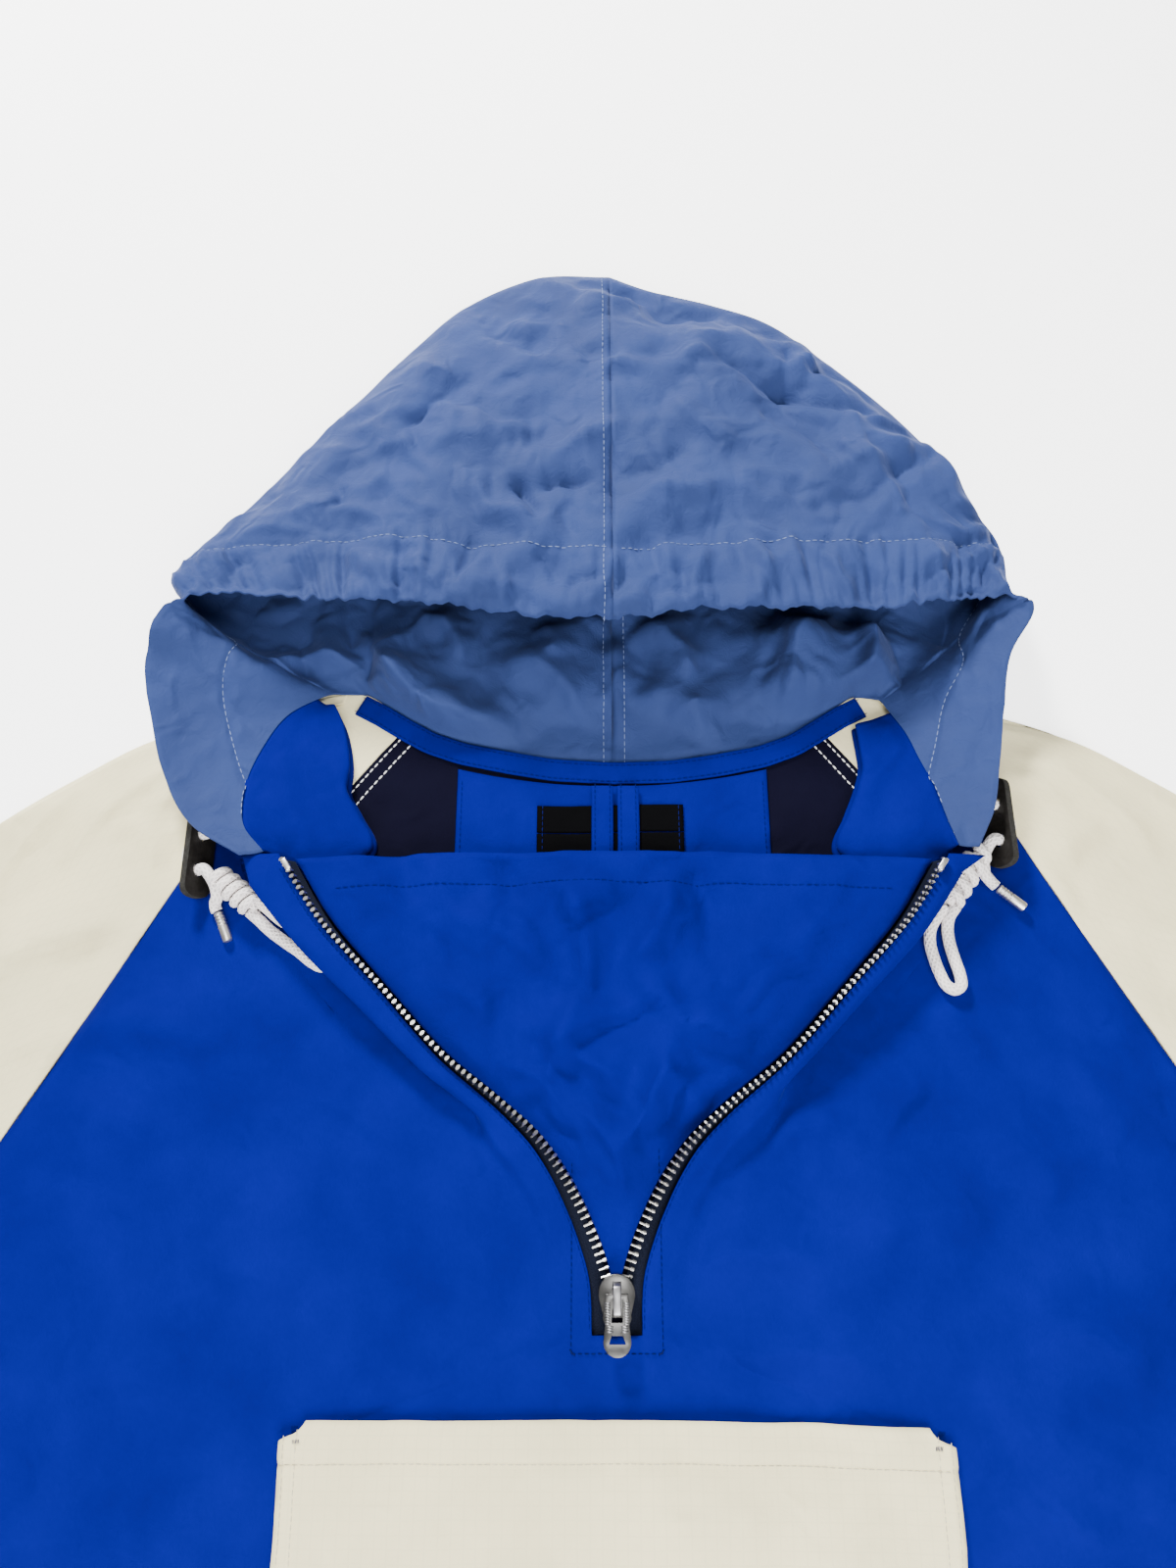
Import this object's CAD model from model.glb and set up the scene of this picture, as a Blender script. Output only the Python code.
"""A colour-blocked anorak pullover with a half zip and a hood, laid flat on its back, half open.

Tables and lengths are in millimetres in the working rows of the pattern; place() takes them to metres in
the part's frame. x is the distance from the garment's middle, y runs from the hem to the hood, z is up.
"""
import math

import bmesh
import bpy
import numpy as np
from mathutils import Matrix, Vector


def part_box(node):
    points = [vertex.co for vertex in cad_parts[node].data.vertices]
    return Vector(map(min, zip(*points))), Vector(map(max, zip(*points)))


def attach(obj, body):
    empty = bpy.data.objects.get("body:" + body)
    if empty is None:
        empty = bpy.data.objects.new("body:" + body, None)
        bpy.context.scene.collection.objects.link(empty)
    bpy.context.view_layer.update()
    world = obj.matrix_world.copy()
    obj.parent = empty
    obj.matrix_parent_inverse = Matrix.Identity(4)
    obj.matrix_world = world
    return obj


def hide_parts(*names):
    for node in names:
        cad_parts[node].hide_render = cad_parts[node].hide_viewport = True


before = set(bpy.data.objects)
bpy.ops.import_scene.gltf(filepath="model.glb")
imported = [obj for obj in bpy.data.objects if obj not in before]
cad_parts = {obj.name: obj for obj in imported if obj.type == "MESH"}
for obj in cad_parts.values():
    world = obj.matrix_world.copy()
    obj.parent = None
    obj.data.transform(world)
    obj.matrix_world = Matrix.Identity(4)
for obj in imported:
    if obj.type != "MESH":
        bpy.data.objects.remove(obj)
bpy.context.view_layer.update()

bl_info = {
    "name": "Anorak pullover",
    "version": (1, 0, 0),
    "blender": (4, 5, 0),
    "location": "View3D > Sidebar > Anorak",
    "description": "Dresses an anorak pullover that lies flat with its half zip open",
    "category": "Object",
}

SHIFT_Y = -0.358  # from the pattern's rows to the frame
MM = 0.001
BODY = "garment"
SIDES = (("left", -1), ("right", 1))

# Layers and edges, as in the part
FLOOR_MID = 0.75
LAYER = 2.3
FRONT_MID = FLOOR_MID + LAYER
HEM_Y = -499
HEM_HALF = 326
ARMPIT = (342, -103)
CUFF_TOP = (741, -222)
CUFF_BOTTOM = (662, -312)
POCKET_HALF, POCKET_TOP, POCKET_BOTTOM, POCKET_CORNER = 136, -84, -322, 7
TAPE_WIDTH = 10.5
TOOTH_LIFT = 1.0

# Row of teeth from the zip's bottom to its top: place, height, lean of the tape, distance of the cloth's
# edge from the teeth, and the width of the doubled strip beside it on each side
ZIP_COLUMNS = ("x", "y", "z", "lean", "edge", "left", "right")
ZIP = (
    (1.6, -53, 5.4, 2, 8.8, 0, 0),
    (4.6, -29, 6.2, 8, 7.2, 0, 0),
    (17.5, 2, 8.6, 26, 5.8, 0, 0),
    (33.0, 24, 11.5, 48, 4.4, 4, 3),
    (51.0, 40, 14.5, 66, 3.4, 8, 6),
    (76.5, 60, 17.5, 80, 3.0, 10, 7),
    (106.0, 91, 20.5, 90, 2.6, 12.5, 8),
    (132.5, 118.5, 23.0, 100, 2.4, 14.5, 8.5),
    (152.0, 146.5, 25.5, 108, 2.4, 18, 9),
)
# Neck seam from the middle of the back round to the zip's top: x, y, z
NECK = {
    "left": (
        (0, 203, 0.75), (28, 204.7, 0.75), (50, 208.5, 0.75), (72, 213, 0.75), (88, 218.5, 0.75),
        (101, 226, 0.75), (113, 233.5, 0.75), (124, 239.4, 0.75), (134, 239.5, 3.2), (146, 236, 6.6),
        (160, 226, 9.5), (171, 206, 12.5), (176, 186, 15.5), (174, 166, 19), (162, 151, 22.5),
    ),
    "right": (
        (0, 203, 0.75), (28, 203.9, 0.75), (50, 207, 0.75), (72, 211.5, 0.75), (88, 217.5, 0.75),
        (101, 225.6, 0.75), (112, 232.6, 0.75), (123, 238.2, 0.75), (132, 237, 3.2), (138, 229, 6.6),
        (144, 217, 9.5), (149, 201, 12.5), (154, 185, 15.5), (157, 168, 19), (160, 154, 22.5),
    ),
}
# Hood: where its back turns over to its front, or None where the cloth is one wall, and its free edge
HOOD = {
    "left": (
        ((0, 499, 11), (0, 260, 45)), ((40.5, 498, 11), (30, 260.7, 45)),
        ((82, 476, 11), (58, 263.3, 46)), ((109.5, 446, 11), (85, 267, 46.5)),
        ((137.5, 409, 11.5), (108, 269, 46)), ((161, 378.5, 13), (129, 270.5, 45.5)),
        ((187, 343, 15), (150, 272.5, 44.5)), ((206, 317, 19), (174, 274.5, 43.5)),
        ((219, 289, 27), (199, 275, 42.5)), (None, (220, 263.5, 39.5)), (None, (225, 243, 33)),
        (None, (220, 215, 28)), (None, (212, 188, 25)), (None, (198, 165, 24)), (None, (172, 148.5, 26)),
    ),
    "right": (
        ((0, 499, 11), (0, 260, 45)), ((22, 489, 11), (26, 263.5, 44.5)),
        ((57, 478.5, 11), (52, 265.5, 45.5)), ((89, 465, 11), (78, 265, 46)),
        ((119.5, 437.5, 11.5), (102, 265.5, 46)), ((151.5, 403, 12.5), (126, 266, 46)),
        ((172, 374, 14), (148, 268.5, 45.5)), ((186.5, 339.5, 18), (166, 272, 44)),
        ((197, 308, 24), (184, 274, 42)), (None, (202, 264, 39)), (None, (192, 248, 33.5)),
        (None, (187, 222, 29)), (None, (183, 196, 26)), (None, (178, 172, 24.5)), (None, (168, 152.5, 26)),
    ),
}
# Where the front's neck part turns over outward, from the zip's top to the sleeve seam: x, y
TURN = {
    "left": ((150, 151), (131, 152.5), (118, 158), (125, 172), (132, 185), (132, 199), (136, 217), (142, 229)),
    "right": ((150, 151), (128, 151.5), (110, 157), (116, 172), (122, 186), (125.5, 198), (125, 210), (124, 221)),
}
# Sleeve seams from the neck to the armpit: share, x, y
FRONT_RAGLAN = (
    (0, 144, 231), (0.16, 180, 191), (0.32, 204, 146), (0.5, 236.5, 85), (0.68, 269, 26), (0.84, 304, -37),
    (1, 342, -103),
)
BACK_RAGLAN = (
    (0, 101, 225), (0.2, 134, 183), (0.4, 184, 113), (0.6, 236, 41), (0.8, 289, -31), (1, 342, -103),
)
SLEEVE_TOP = (
    (136, 235), (182, 226.5), (227, 215), (262, 195), (300, 169), (400, 86), (520, -18), (640, -127),
    (741, -222),
)
SLEEVE_UNDER = ((343.2, -103.4), (420, -139), (520, -200), (662, -312))

# Folds that the part has too: from x, y to x, y, half width, rise
FRONT_FOLDS = (
    (-60, -30, -150, 20, 22, 1.0), (70, -20, 210, -60, 24, 1.1), (-300, -120, -170, -60, 26, 1.2),
    (300, -140, 180, -210, 26, 1.0), (-290, -330, -150, -420, 30, 1.1), (120, -400, 290, -360, 30, 1.0),
)
SLEEVE_FOLDS = (
    (250, 120, 420, 20, 16, 1.1), (300, 60, 470, -110, 18, 1.2), (360, -60, 520, -140, 15, 1.0),
    (480, -30, 640, -190, 15, 1.1), (560, -170, 680, -250, 12, 0.9),
)
HOOD_FOLDS = (
    (-150, 350, -40, 330, 13, 3.2), (-70, 440, -20, 372, 13, 3.0), (-110, 300, -30, 296, 10, 2.4),
    (20, 400, 80, 440, 14, 3.0), (40, 350, 150, 372, 14, 3.4), (60, 300, 160, 312, 11, 2.6),
    (8, 470, 0, 280, 16, 2.0),
)
GUSSET_FOLDS = (
    (-95, 128, -30, 84, 9, 3.0), (-45, 60, 5, 22, 8, 2.2), (88, 110, 20, 68, 9, 2.8),
    (10, 120, 30, 40, 8, 2.4), (-60, 108, 70, 122, 10, 1.8),
)

# Creases, placed by hand: from x, y to x, y, bow to the side, half width, rise (below 0 a trough)
HOOD_OUTSIDE = (
    (50, 428, 152, 387, -8, 7, -3.4), (36, 416, 94, 420, 4, 9, 1.8), (-34, 352, 34, 378, 6, 8, 2.4),
    (-38, 332, -7, 338, 3, 5, -2.8), (-52, 339, -37, 313, 2, 4, -3.2), (-64, 319, -38, 312, 3, 6, 2.0),
    (-122, 358, -101, 362, 3, 6, 1.8), (-111, 339, -84, 321, -4, 7, 2.4), (-137, 339, -140, 325, 2, 5, -1.8),
    (-141, 326, -115, 315, 3, 6, 1.8), (-186, 312, -139, 309, 5, 8, 2.0), (-70, 441, -37, 425, 4, 7, -1.8),
    (-58, 450, -42, 437, 2, 9, 1.4), (32, 394, 67, 364, -6, 9, 2.8), (77, 390, 115, 358, 5, 10, -2.4),
    (103, 338, 140, 356, 4, 8, 1.8), (140, 356, 149, 321, 5, 8, -2.0), (135, 384, 162, 380, 3, 6, 2.6),
    (162, 380, 176, 341, 4, 8, 2.2), (-95, 356, -60, 364, 5, 8, 1.6), (-80, 400, -55, 376, 4, 10, 1.4),
    (-169, 360, -128, 392, 6, 14, 1.2), (12, 459, 44, 472, 4, 12, 1.2), (86, 437, 116, 416, 4, 9, 1.4),
    (16, 330, 53, 323, 6, 9, 1.8), (63, 341, 88, 326, -4, 8, 1.6), (-1, 364, -2, 316, 3, 6, -1.8),
    (-16, 376, -14, 312, 2, 6, 1.6), (-30, 480, -12, 440, 3, 10, 1.3), (-110, 420, -84, 402, 3, 12, 1.2),
)
HOOD_HEM = (
    (-180, 302, -190, 278, -2, 6, -1.8), (-159, 295, -144, 279, 1, 6, -2.0), (-123, 291, -107, 269, 2, 5, 2.1),
    (-99, 295, -83, 277, -2, 5, 2.3), (-106, 281, -96, 265, 0, 4, -2.0), (-63, 300, -73, 274, 2, 6, 2.2),
    (-37, 299, -28, 277, 1, 3, -2.1), (-24, 276, -8, 279, 1, 4, -2.2), (3, 299, -6, 266, -1, 6, 2.3),
    (24, 307, 30, 275, -1, 5, 2.1), (16, 281, 8, 265, 0, 4, 1.3), (47, 301, 37, 269, -2, 4, 2.4),
    (67, 307, 77, 279, 0, 4, 1.8), (86, 314, 90, 277, -1, 4, 1.9), (100, 300, 114, 269, 1, 4, 2.3),
    (132, 310, 128, 283, -3, 4, 2.0), (156, 307, 164, 277, -2, 4, 2.3), (181, 307, 192, 270, 0, 4, 2.2),
    (-138, 300, -131, 279, 0, 4, -1.3), (-50, 288, -47, 266, 2, 5, -1.6), (110, 310, 101, 285, -3, 4, -1.6),
)
HOOD_INSIDE = (
    (-126, 277, -52, 210, -14, 15, 13), (-132, 289, -123, 244, 6, 7, -4), (-173, 249, -127, 252, 8, 9, 6),
    (-77, 277, -50, 238, 8, 9, -0.5), (-50, 257, -15, 226, 6, 9, 4), (-107, 238, -63, 207, 5, 7, -3),
    (52, 283, 67, 215, 10, 7, 0.5), (88, 282, 84, 228, 4, 20, 11), (127, 277, 123, 240, 5, 9, 8),
    (139, 272, 146, 223, 5, 9, -3), (108, 233, 125, 225, 3, 6, 4), (17, 277, 39, 244, 6, 11, 5),
    (10, 238, 50, 216, 5, 9, 4), (-1, 277, 2, 207, 2, 4, 1.6), (-196, 267, -186, 218, 6, 9, 3),
    (-179, 279, -154, 247, 6, 8, -4), (-36, 277, -30, 257, 3, 8, 3), (27, 226, 65, 229, 4, 6, 2),
    (-95, 283, -76, 257, 5, 9, 4), (160, 262, 168, 215, 4, 8, 3), (-150, 215, -142, 190, 4, 7, 2),
)
FRONT_CREASES = (
    (-252, 67, -167, 62, 8, 14, 1.8), (-231, 47, -242, 10, 6, 16, 1.5), (-68, 14, -34, -2, 5, 8, 1.4),
    (-37, -2, -15, -26, 3, 7, 1.6), (30, -26, 86, -25, 4, 10, 1.3), (52, 18, 105, 30, 5, 9, 1.7),
    (117, 24, 143, 48, 4, 8, 1.5), (-162, 18, -130, 42, 6, 12, 1.5), (-186, -26, -135, -41, 8, 18, 1.7),
    (105, -22, 161, -6, 8, 14, 1.6), (161, 30, 191, -2, 6, 13, 1.7), (-94, -30, -44, -48, 6, 14, 1.3),
    (45, -63, 110, -67, 6, 12, 1.2), (-229, -67, -171, -81, 8, 18, 1.7), (177, -48, 221, -74, 8, 18, 1.7),
    (140, 86, 168, 55, 4, 9, 1.3), (-145, 60, -89, 22, -5, 8, 1.2), (199, 60, 224, 18, 5, 12, 1.4),
    (-250, -200, -180, -260, 9, 20, 1.9), (190, -180, 270, -240, 9, 20, 1.8), (-200, -420, -90, -450, 10, 22, 1.8),
    (20, -380, 120, -440, 10, 20, 1.7), (-30, -350, -90, -400, 7, 18, 1.4), (230, -320, 290, -420, 8, 20, 1.6),
)
GUSSET_CREASES = (
    (-31, 139, -12, 89, 6, 8, 3.0), (-12, 89, -29, 46, -5, 7, 2.6), (-72, 121, -29, 97, 4, 8, 2.4),
    (28, 137, 5, 100, 4, 7, 2.6), (5, 100, 67, 66, -8, 8, 2.6), (-47, 74, 6, 41, 5, 7, 2.2),
    (35, 144, 44, 111, 3, 7, -2.0), (60, 111, 91, 93, 4, 8, 2.0), (24, 66, -3, 17, 5, 8, 2.6),
    (-16, 38, 5, 1, 4, 6, 1.8), (-136, 137, -89, 116, 5, 9, 2.0), (-59, 149, -49, 125, 3, 8, -1.8),
    (106, 139, 82, 111, 4, 8, 1.8), (14, 38, 27, 54, 3, 6, 1.6), (-24, 116, 5, 128, 3, 6, 1.8),
    (-88, 93, -56, 76, 4, 8, 1.8),
)
BACK_CREASES = (
    (-123, 177, -105, 192, 2, 7, 0.8), (-100, 192, -82, 162, 3, 7, 0.7), (83, 192, 110, 172, 3, 7, 0.8),
    (81, 162, 97, 182, 2, 6, 0.7), (-60, 188, -20, 150, 4, 9, 0.5), (30, 150, 62, 185, 4, 9, 0.5),
)
SLEEVE_CREASES = (
    (200, 205, 262, 150, 8, 9, 1.6), (225, 120, 290, 95, 6, 10, 1.5), (255, 190, 300, 120, 8, 11, 1.7),
    (290, 140, 330, 60, 9, 12, 1.8), (300, 20, 350, -40, 7, 11, 1.6), (250, 70, 300, 40, 5, 9, 1.3),
    (330, 110, 420, 30, 9, 13, 1.8), (370, 20, 450, -90, 9, 13, 1.8), (430, 40, 540, -60, 8, 12, 1.6),
    (470, -60, 540, -150, 8, 12, 1.6), (540, -70, 650, -180, 7, 12, 1.5), (600, -190, 690, -260, 6, 10, 1.3),
    (385, -90, 470, -150, 6, 10, 1.4), (190, 195, 222, 176, 4, 7, 1.2), (215, 150, 240, 170, 4, 8, 1.1),
)
TURN_CREASES = (
    (118, 168, 150, 215, 6, 8, 2.2), (136, 158, 152, 190, -4, 7, 1.6), (-122, 165, -150, 208, -6, 8, 2.4),
    (-140, 158, -160, 200, 5, 8, 1.6), (132, 205, 140, 222, 2, 5, 1.4), (-138, 205, -146, 228, 2, 5, 1.6),
)
POCKET_CREASES = (
    (-60, -120, 20, -150, 8, 16, 2.2), (40, -110, 100, -170, 6, 14, 1.8), (-110, -170, -70, -240, 6, 16, 1.8),
    (0, -200, 90, -230, 8, 18, 1.8), (-90, -110, -60, -140, 3, 9, 1.4), (70, -250, 110, -300, 5, 14, 1.5),
    (-40, -240, 10, -300, 6, 16, 1.6),
)

# Cords: points of each route, as in the part
CORD_DIAMETER = 5.5
FEED_LEFT = (
    (-184, 163.4, 15.4), (-188, 163, 15.2), (-191.8, 162.6, 14.2), (-195.6, 162.5, 11.8), (-198.6, 162.3, 9.4),
    (-201.2, 159, 7.9), (-202.4, 153.8, 7.4), (-201.2, 148.6, 7.9), (-198.6, 145.3, 9.4), (-195.6, 145, 11.8),
    (-191.6, 145, 14.2), (-188.4, 141.5, 13.6), (-186, 137, 12), (-185.3, 132.2, 10.2), (-186.4, 130.4, 8.5),
    (-186.4, 128.2, 7.3), (-185.6, 126.6, 6.9),
)
FEED_RIGHT = (
    (172, 178.2, 15.4), (176, 177.8, 15.2), (180, 177.4, 14.2), (183.8, 177.2, 11.8), (186.8, 177, 9.4),
    (189.4, 173.8, 7.9), (190.6, 168.5, 7.4), (189.4, 163.2, 7.9), (186.8, 160, 9.4), (183.8, 159.8, 11.8),
    (179.8, 159.8, 14.2), (176.4, 156, 13.6), (174.4, 150.5, 12.4), (174.3, 146, 11.2), (174.9, 143.3, 10.2),
    (176.7, 141.9, 8.5), (178.6, 140.3, 7.3), (180.4, 138.6, 6.9),
)
LOOP_LEFT = (
    (-169.3, 125.4, 11.0), (-164.6, 121.6, 10.2), (-159.5, 117, 8.2), (-152.5, 112, 7.5), (-145.5, 107.4, 7.3),
    (-139.2, 102.6, 7.3), (-134.2, 100.4, 7.3), (-130.9, 102.2, 7.3), (-131.6, 106, 7.3), (-135.8, 109.4, 7.3),
    (-142, 113.8, 7.4), (-149, 118.4, 7.6), (-155.5, 122.4, 8.6), (-160.4, 126.4, 10.8), (-165.1, 130.2, 11.4),
)
LOOP_RIGHT = (
    (153.8, 128.5, 10.6), (150.4, 123.6, 9.6), (147.4, 118.4, 8), (146.4, 112, 7.2), (147.6, 104, 7.1),
    (149.6, 97, 7.1), (151.9, 92, 7.1), (155.2, 89.9, 7.1), (158.6, 91.7, 7.1), (158.6, 97, 7.1),
    (156.9, 104, 7.1), (155.4, 112, 7.2), (155, 118, 8), (155.8, 123, 9.8), (159.2, 127.9, 10.8),
)
KNOTS = {
    "knot_left": ((-187, 143.5, 11.6), (-164.6, 125.4, 11.2)),
    "knot_right": ((174.8, 156.4, 11.6), (154.6, 127.6, 11.2)),
}
AGLETS = {
    "aglet_left": ((-184.9, 125.6, 6.8), (-179, 112.4, 6.5)),
    "aglet_right": ((181.5, 137.7, 6.8), (192.9, 128.2, 6.5)),
}


# Settings that a user would change
def length_setting(name, description, default):
    return bpy.props.FloatProperty(name=name, description=description, default=default, unit="LENGTH", precision=4)


def colour_setting(name, description, default):
    return bpy.props.FloatVectorProperty(name=name, description=description, subtype="COLOR", size=3, default=default)


class CameraSettings(bpy.types.PropertyGroup):
    height: length_setting("Height", "Height of the camera over the surface", 0.525)
    tilt: bpy.props.FloatProperty(
        name="Tilt", description="Turn of the camera away from straight down", default=math.radians(20.14),
        subtype="ANGLE")
    lens: bpy.props.FloatProperty(name="Lens", description="Focal length in millimetres", default=26.0)


class ClothSettings(bpy.types.PropertyGroup):
    wall: length_setting("Cloth thickness", "Thickness of the shell cloth", 0.0009)
    step: length_setting("Grid step", "Distance between the points of a cloth piece", 0.0036)
    crumple: bpy.props.FloatProperty(
        name="Crumple", description="Strength of the small creases", default=1.0, min=0.0, max=2.0)
    hood_colour: colour_setting("Hood", "Colour of the hood", (0.0235, 0.043, 0.146))
    cobalt_colour: colour_setting("Body", "Colour of the front and the gusset", (0.0006, 0.0026, 0.155))
    navy_colour: colour_setting("Back", "Colour of the back's inside", (0.0034, 0.0031, 0.0108))
    cream_colour: colour_setting("Sleeves", "Colour of the sleeves and the pocket", (0.84, 0.76, 0.46))


class TrimSettings(bpy.types.PropertyGroup):
    tooth_pitch: length_setting("Tooth pitch", "Distance from one zip tooth to the next on a side", 0.0031)
    tooth_width: length_setting("Tooth width", "Length of a zip tooth across the tape", 0.0042)
    stitch_pitch: length_setting("Stitch pitch", "Distance from one stitch to the next", 0.0034)
    thread: length_setting("Thread", "Thickness of the sewing thread", 0.0006)
    cord_colour: colour_setting("Cord", "Colour of the drawcord", (0.90, 0.84, 0.82))
    leather_colour: colour_setting("Leather", "Colour of the toggles", (0.006, 0.0052, 0.0045))


# Numbers
def smooth(t):
    t = np.clip(t, 0, 1)
    return t * t * (3 - 2 * t)


def mix(a, b, t):
    return a + (b - a) * t


def unit(vectors):
    """Rows of vectors, each 1 long."""
    return vectors / np.linalg.norm(vectors, axis=-1)[..., None]


def place(points):
    """Pattern millimetres to metres in the frame."""
    p = np.array(points, float)
    p[..., 1] += SHIFT_Y
    return p * MM


def spline(points):
    """A centripetal curve through points, read by a share of its number of spans."""
    p = np.array(points, float)
    last = len(p) - 1
    ends = np.vstack([2 * p[0] - p[1], p, 2 * p[-1] - p[-2]])

    def at(t):
        s = np.clip(np.atleast_1d(np.asarray(t, float)), 0, 1) * last
        i = np.minimum(s.astype(int), last - 1)
        w = (s - i)[:, None]
        a, b, c, d = (ends[i + k] for k in range(4))
        h0, h1, h2 = (np.sqrt(np.linalg.norm(q - r, axis=1))[:, None] for q, r in ((b, a), (c, b), (d, c)))
        t1 = ((b - a) / h0 - (c - a) / (h0 + h1) + (c - b) / h1) * h1
        t2 = ((c - b) / h1 - (d - b) / (h1 + h2) + (d - c) / h2) * h1
        return b + t1 * w + (-3 * b + 3 * c - 2 * t1 - t2) * w**2 + (2 * b - 2 * c + t1 + t2) * w**3

    return at


def hermite(knots, values):
    """A smooth curve or surface through values at uneven knots."""
    k = np.asarray(knots, float)
    v = np.asarray(values, float)
    shape = (-1,) + (1,) * (v.ndim - 1)
    h = np.diff(k)
    slope = np.diff(v, axis=0) / h.reshape(shape)
    m = np.empty_like(v)
    m[0], m[-1] = slope[0], slope[-1]
    before, after = h[:-1].reshape(shape), h[1:].reshape(shape)
    m[1:-1] = (slope[:-1] * after + slope[1:] * before) / (before + after)

    def at(t):
        t = np.clip(np.atleast_1d(np.asarray(t, float)), k[0], k[-1])
        i = np.clip(np.searchsorted(k, t, "right") - 1, 0, len(k) - 2)
        s = h[i].reshape(shape)
        u = ((t - k[i]) / h[i]).reshape(shape)
        return ((2 * u**3 - 3 * u**2 + 1) * v[i] + (u**3 - 2 * u**2 + u) * s * m[i]
                + (3 * u**2 - 2 * u**3) * v[i + 1] + (u**3 - u**2) * s * m[i + 1])

    return at


def finer(grid, step, axis):
    """A grid with more points along one axis, and the coarse index of each."""
    g = np.moveaxis(np.asarray(grid, float), axis, 0)
    gaps = np.linalg.norm(np.diff(g, axis=0), axis=2)
    h = np.maximum(gaps.mean(axis=1), 1e-3)
    counts = np.maximum(1, np.ceil(gaps.max(axis=1) / step)).astype(int)
    knots = np.concatenate([[0], np.cumsum(h)])
    t = [np.linspace(knots[i], knots[i + 1], c, endpoint=False) for i, c in enumerate(counts)]
    t = np.concatenate(t + [[knots[-1]]])
    return np.moveaxis(hermite(knots, g)(t), 0, axis), np.interp(t, knots, np.arange(len(knots)))


def creases(table, x, y):
    """Height that a table of creases adds."""
    total = np.zeros_like(x, float)
    for x0, y0, x1, y1, bow, half, rise in table:
        dx, dy = x1 - x0, y1 - y0
        length = math.hypot(dx, dy)
        t = ((x - x0) * dx + (y - y0) * dy) / length**2
        off = ((x - x0) * -dy + (y - y0) * dx) / length - bow * 4 * t * (1 - t)
        along = smooth((t + 0.12) / 0.4) * smooth((1.12 - t) / 0.4)
        a = off / half
        a = np.where(a < 0, -1.6 * a, 0.72 * a)
        total += rise * along * np.exp(-a ** 1.35)
    return total


def folds(table, x, y):
    """Height that the part's own folds add."""
    total = np.zeros_like(x, float)
    for x0, y0, x1, y1, half, rise in table:
        dx, dy = x1 - x0, y1 - y0
        t = np.clip(((x - x0) * dx + (y - y0) * dy) / (dx * dx + dy * dy), 0, 1)
        away = np.hypot(x - x0 - t * dx, y - y0 - t * dy) / half
        total += rise * np.exp(-away * away) * (0.55 + 0.45 * np.sin(np.pi * (0.15 + 0.7 * t)))
    return total


def noise(x, y, seed):
    """Smooth noise from -1 to 1 with one bump for each unit."""
    xi, yi = np.floor(x).astype(np.int64), np.floor(y).astype(np.int64)
    xf, yf = x - xi, y - yi

    def pull(ix, iy, dx, dy):
        h = (ix * 374761393 + iy * 668265263 + seed * 69069) & 0xFFFFFFFF
        h = ((h ^ (h >> 13)) * 1274126177) & 0xFFFFFFFF
        a = (h ^ (h >> 16)) * (2 * math.pi / 4294967296)
        return np.cos(a) * dx + np.sin(a) * dy

    u, v = (w * w * w * (w * (w * 6 - 15) + 10) for w in (xf, yf))
    low = mix(pull(xi, yi, xf, yf), pull(xi + 1, yi, xf - 1, yf), u)
    high = mix(pull(xi, yi + 1, xf, yf - 1), pull(xi + 1, yi + 1, xf - 1, yf - 1), u)
    return 1.5 * mix(low, high, v)


def crumple(x, y, seed, sizes):
    """Creased cloth: flat places that meet in long sharp ridges and troughs, each (spacing, height)."""
    wx = x + 11 * noise(x / 41, y / 41, seed + 5) + 3 * noise(x / 13, y / 13, seed + 7)
    wy = y + 11 * noise(x / 41, y / 41, seed + 6) + 3 * noise(x / 13, y / 13, seed + 8)
    total = np.zeros_like(x, float)
    for i, (size, height) in enumerate(sizes):
        turn = 0.5 + 1.9 * i + seed
        u, v = wx * math.cos(turn) + wy * math.sin(turn), wy * math.cos(turn) - wx * math.sin(turn)
        n = noise(u / (1.9 * size), v / (0.85 * size), seed + 11 * i)
        patch = 0.25 + 0.75 * smooth(0.5 + 1.3 * noise(x / (size * 1.5), y / (size * 1.5), seed + 11 * i + 3))
        total += 2.4 * height * patch * (0.3 - np.sqrt(n * n + 0.0008)) * (1, -1)[i % 2]
    return total * bpy.context.scene.cloth.crumple


# Meshes
def new_object(name, mesh, material=None):
    obj = bpy.data.objects.new(name, mesh)
    bpy.context.scene.collection.objects.link(obj)
    if material:
        mesh.materials.append(material)
    return obj


def all_smooth(mesh):
    mesh.polygons.foreach_set("use_smooth", [True] * len(mesh.polygons))


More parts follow.
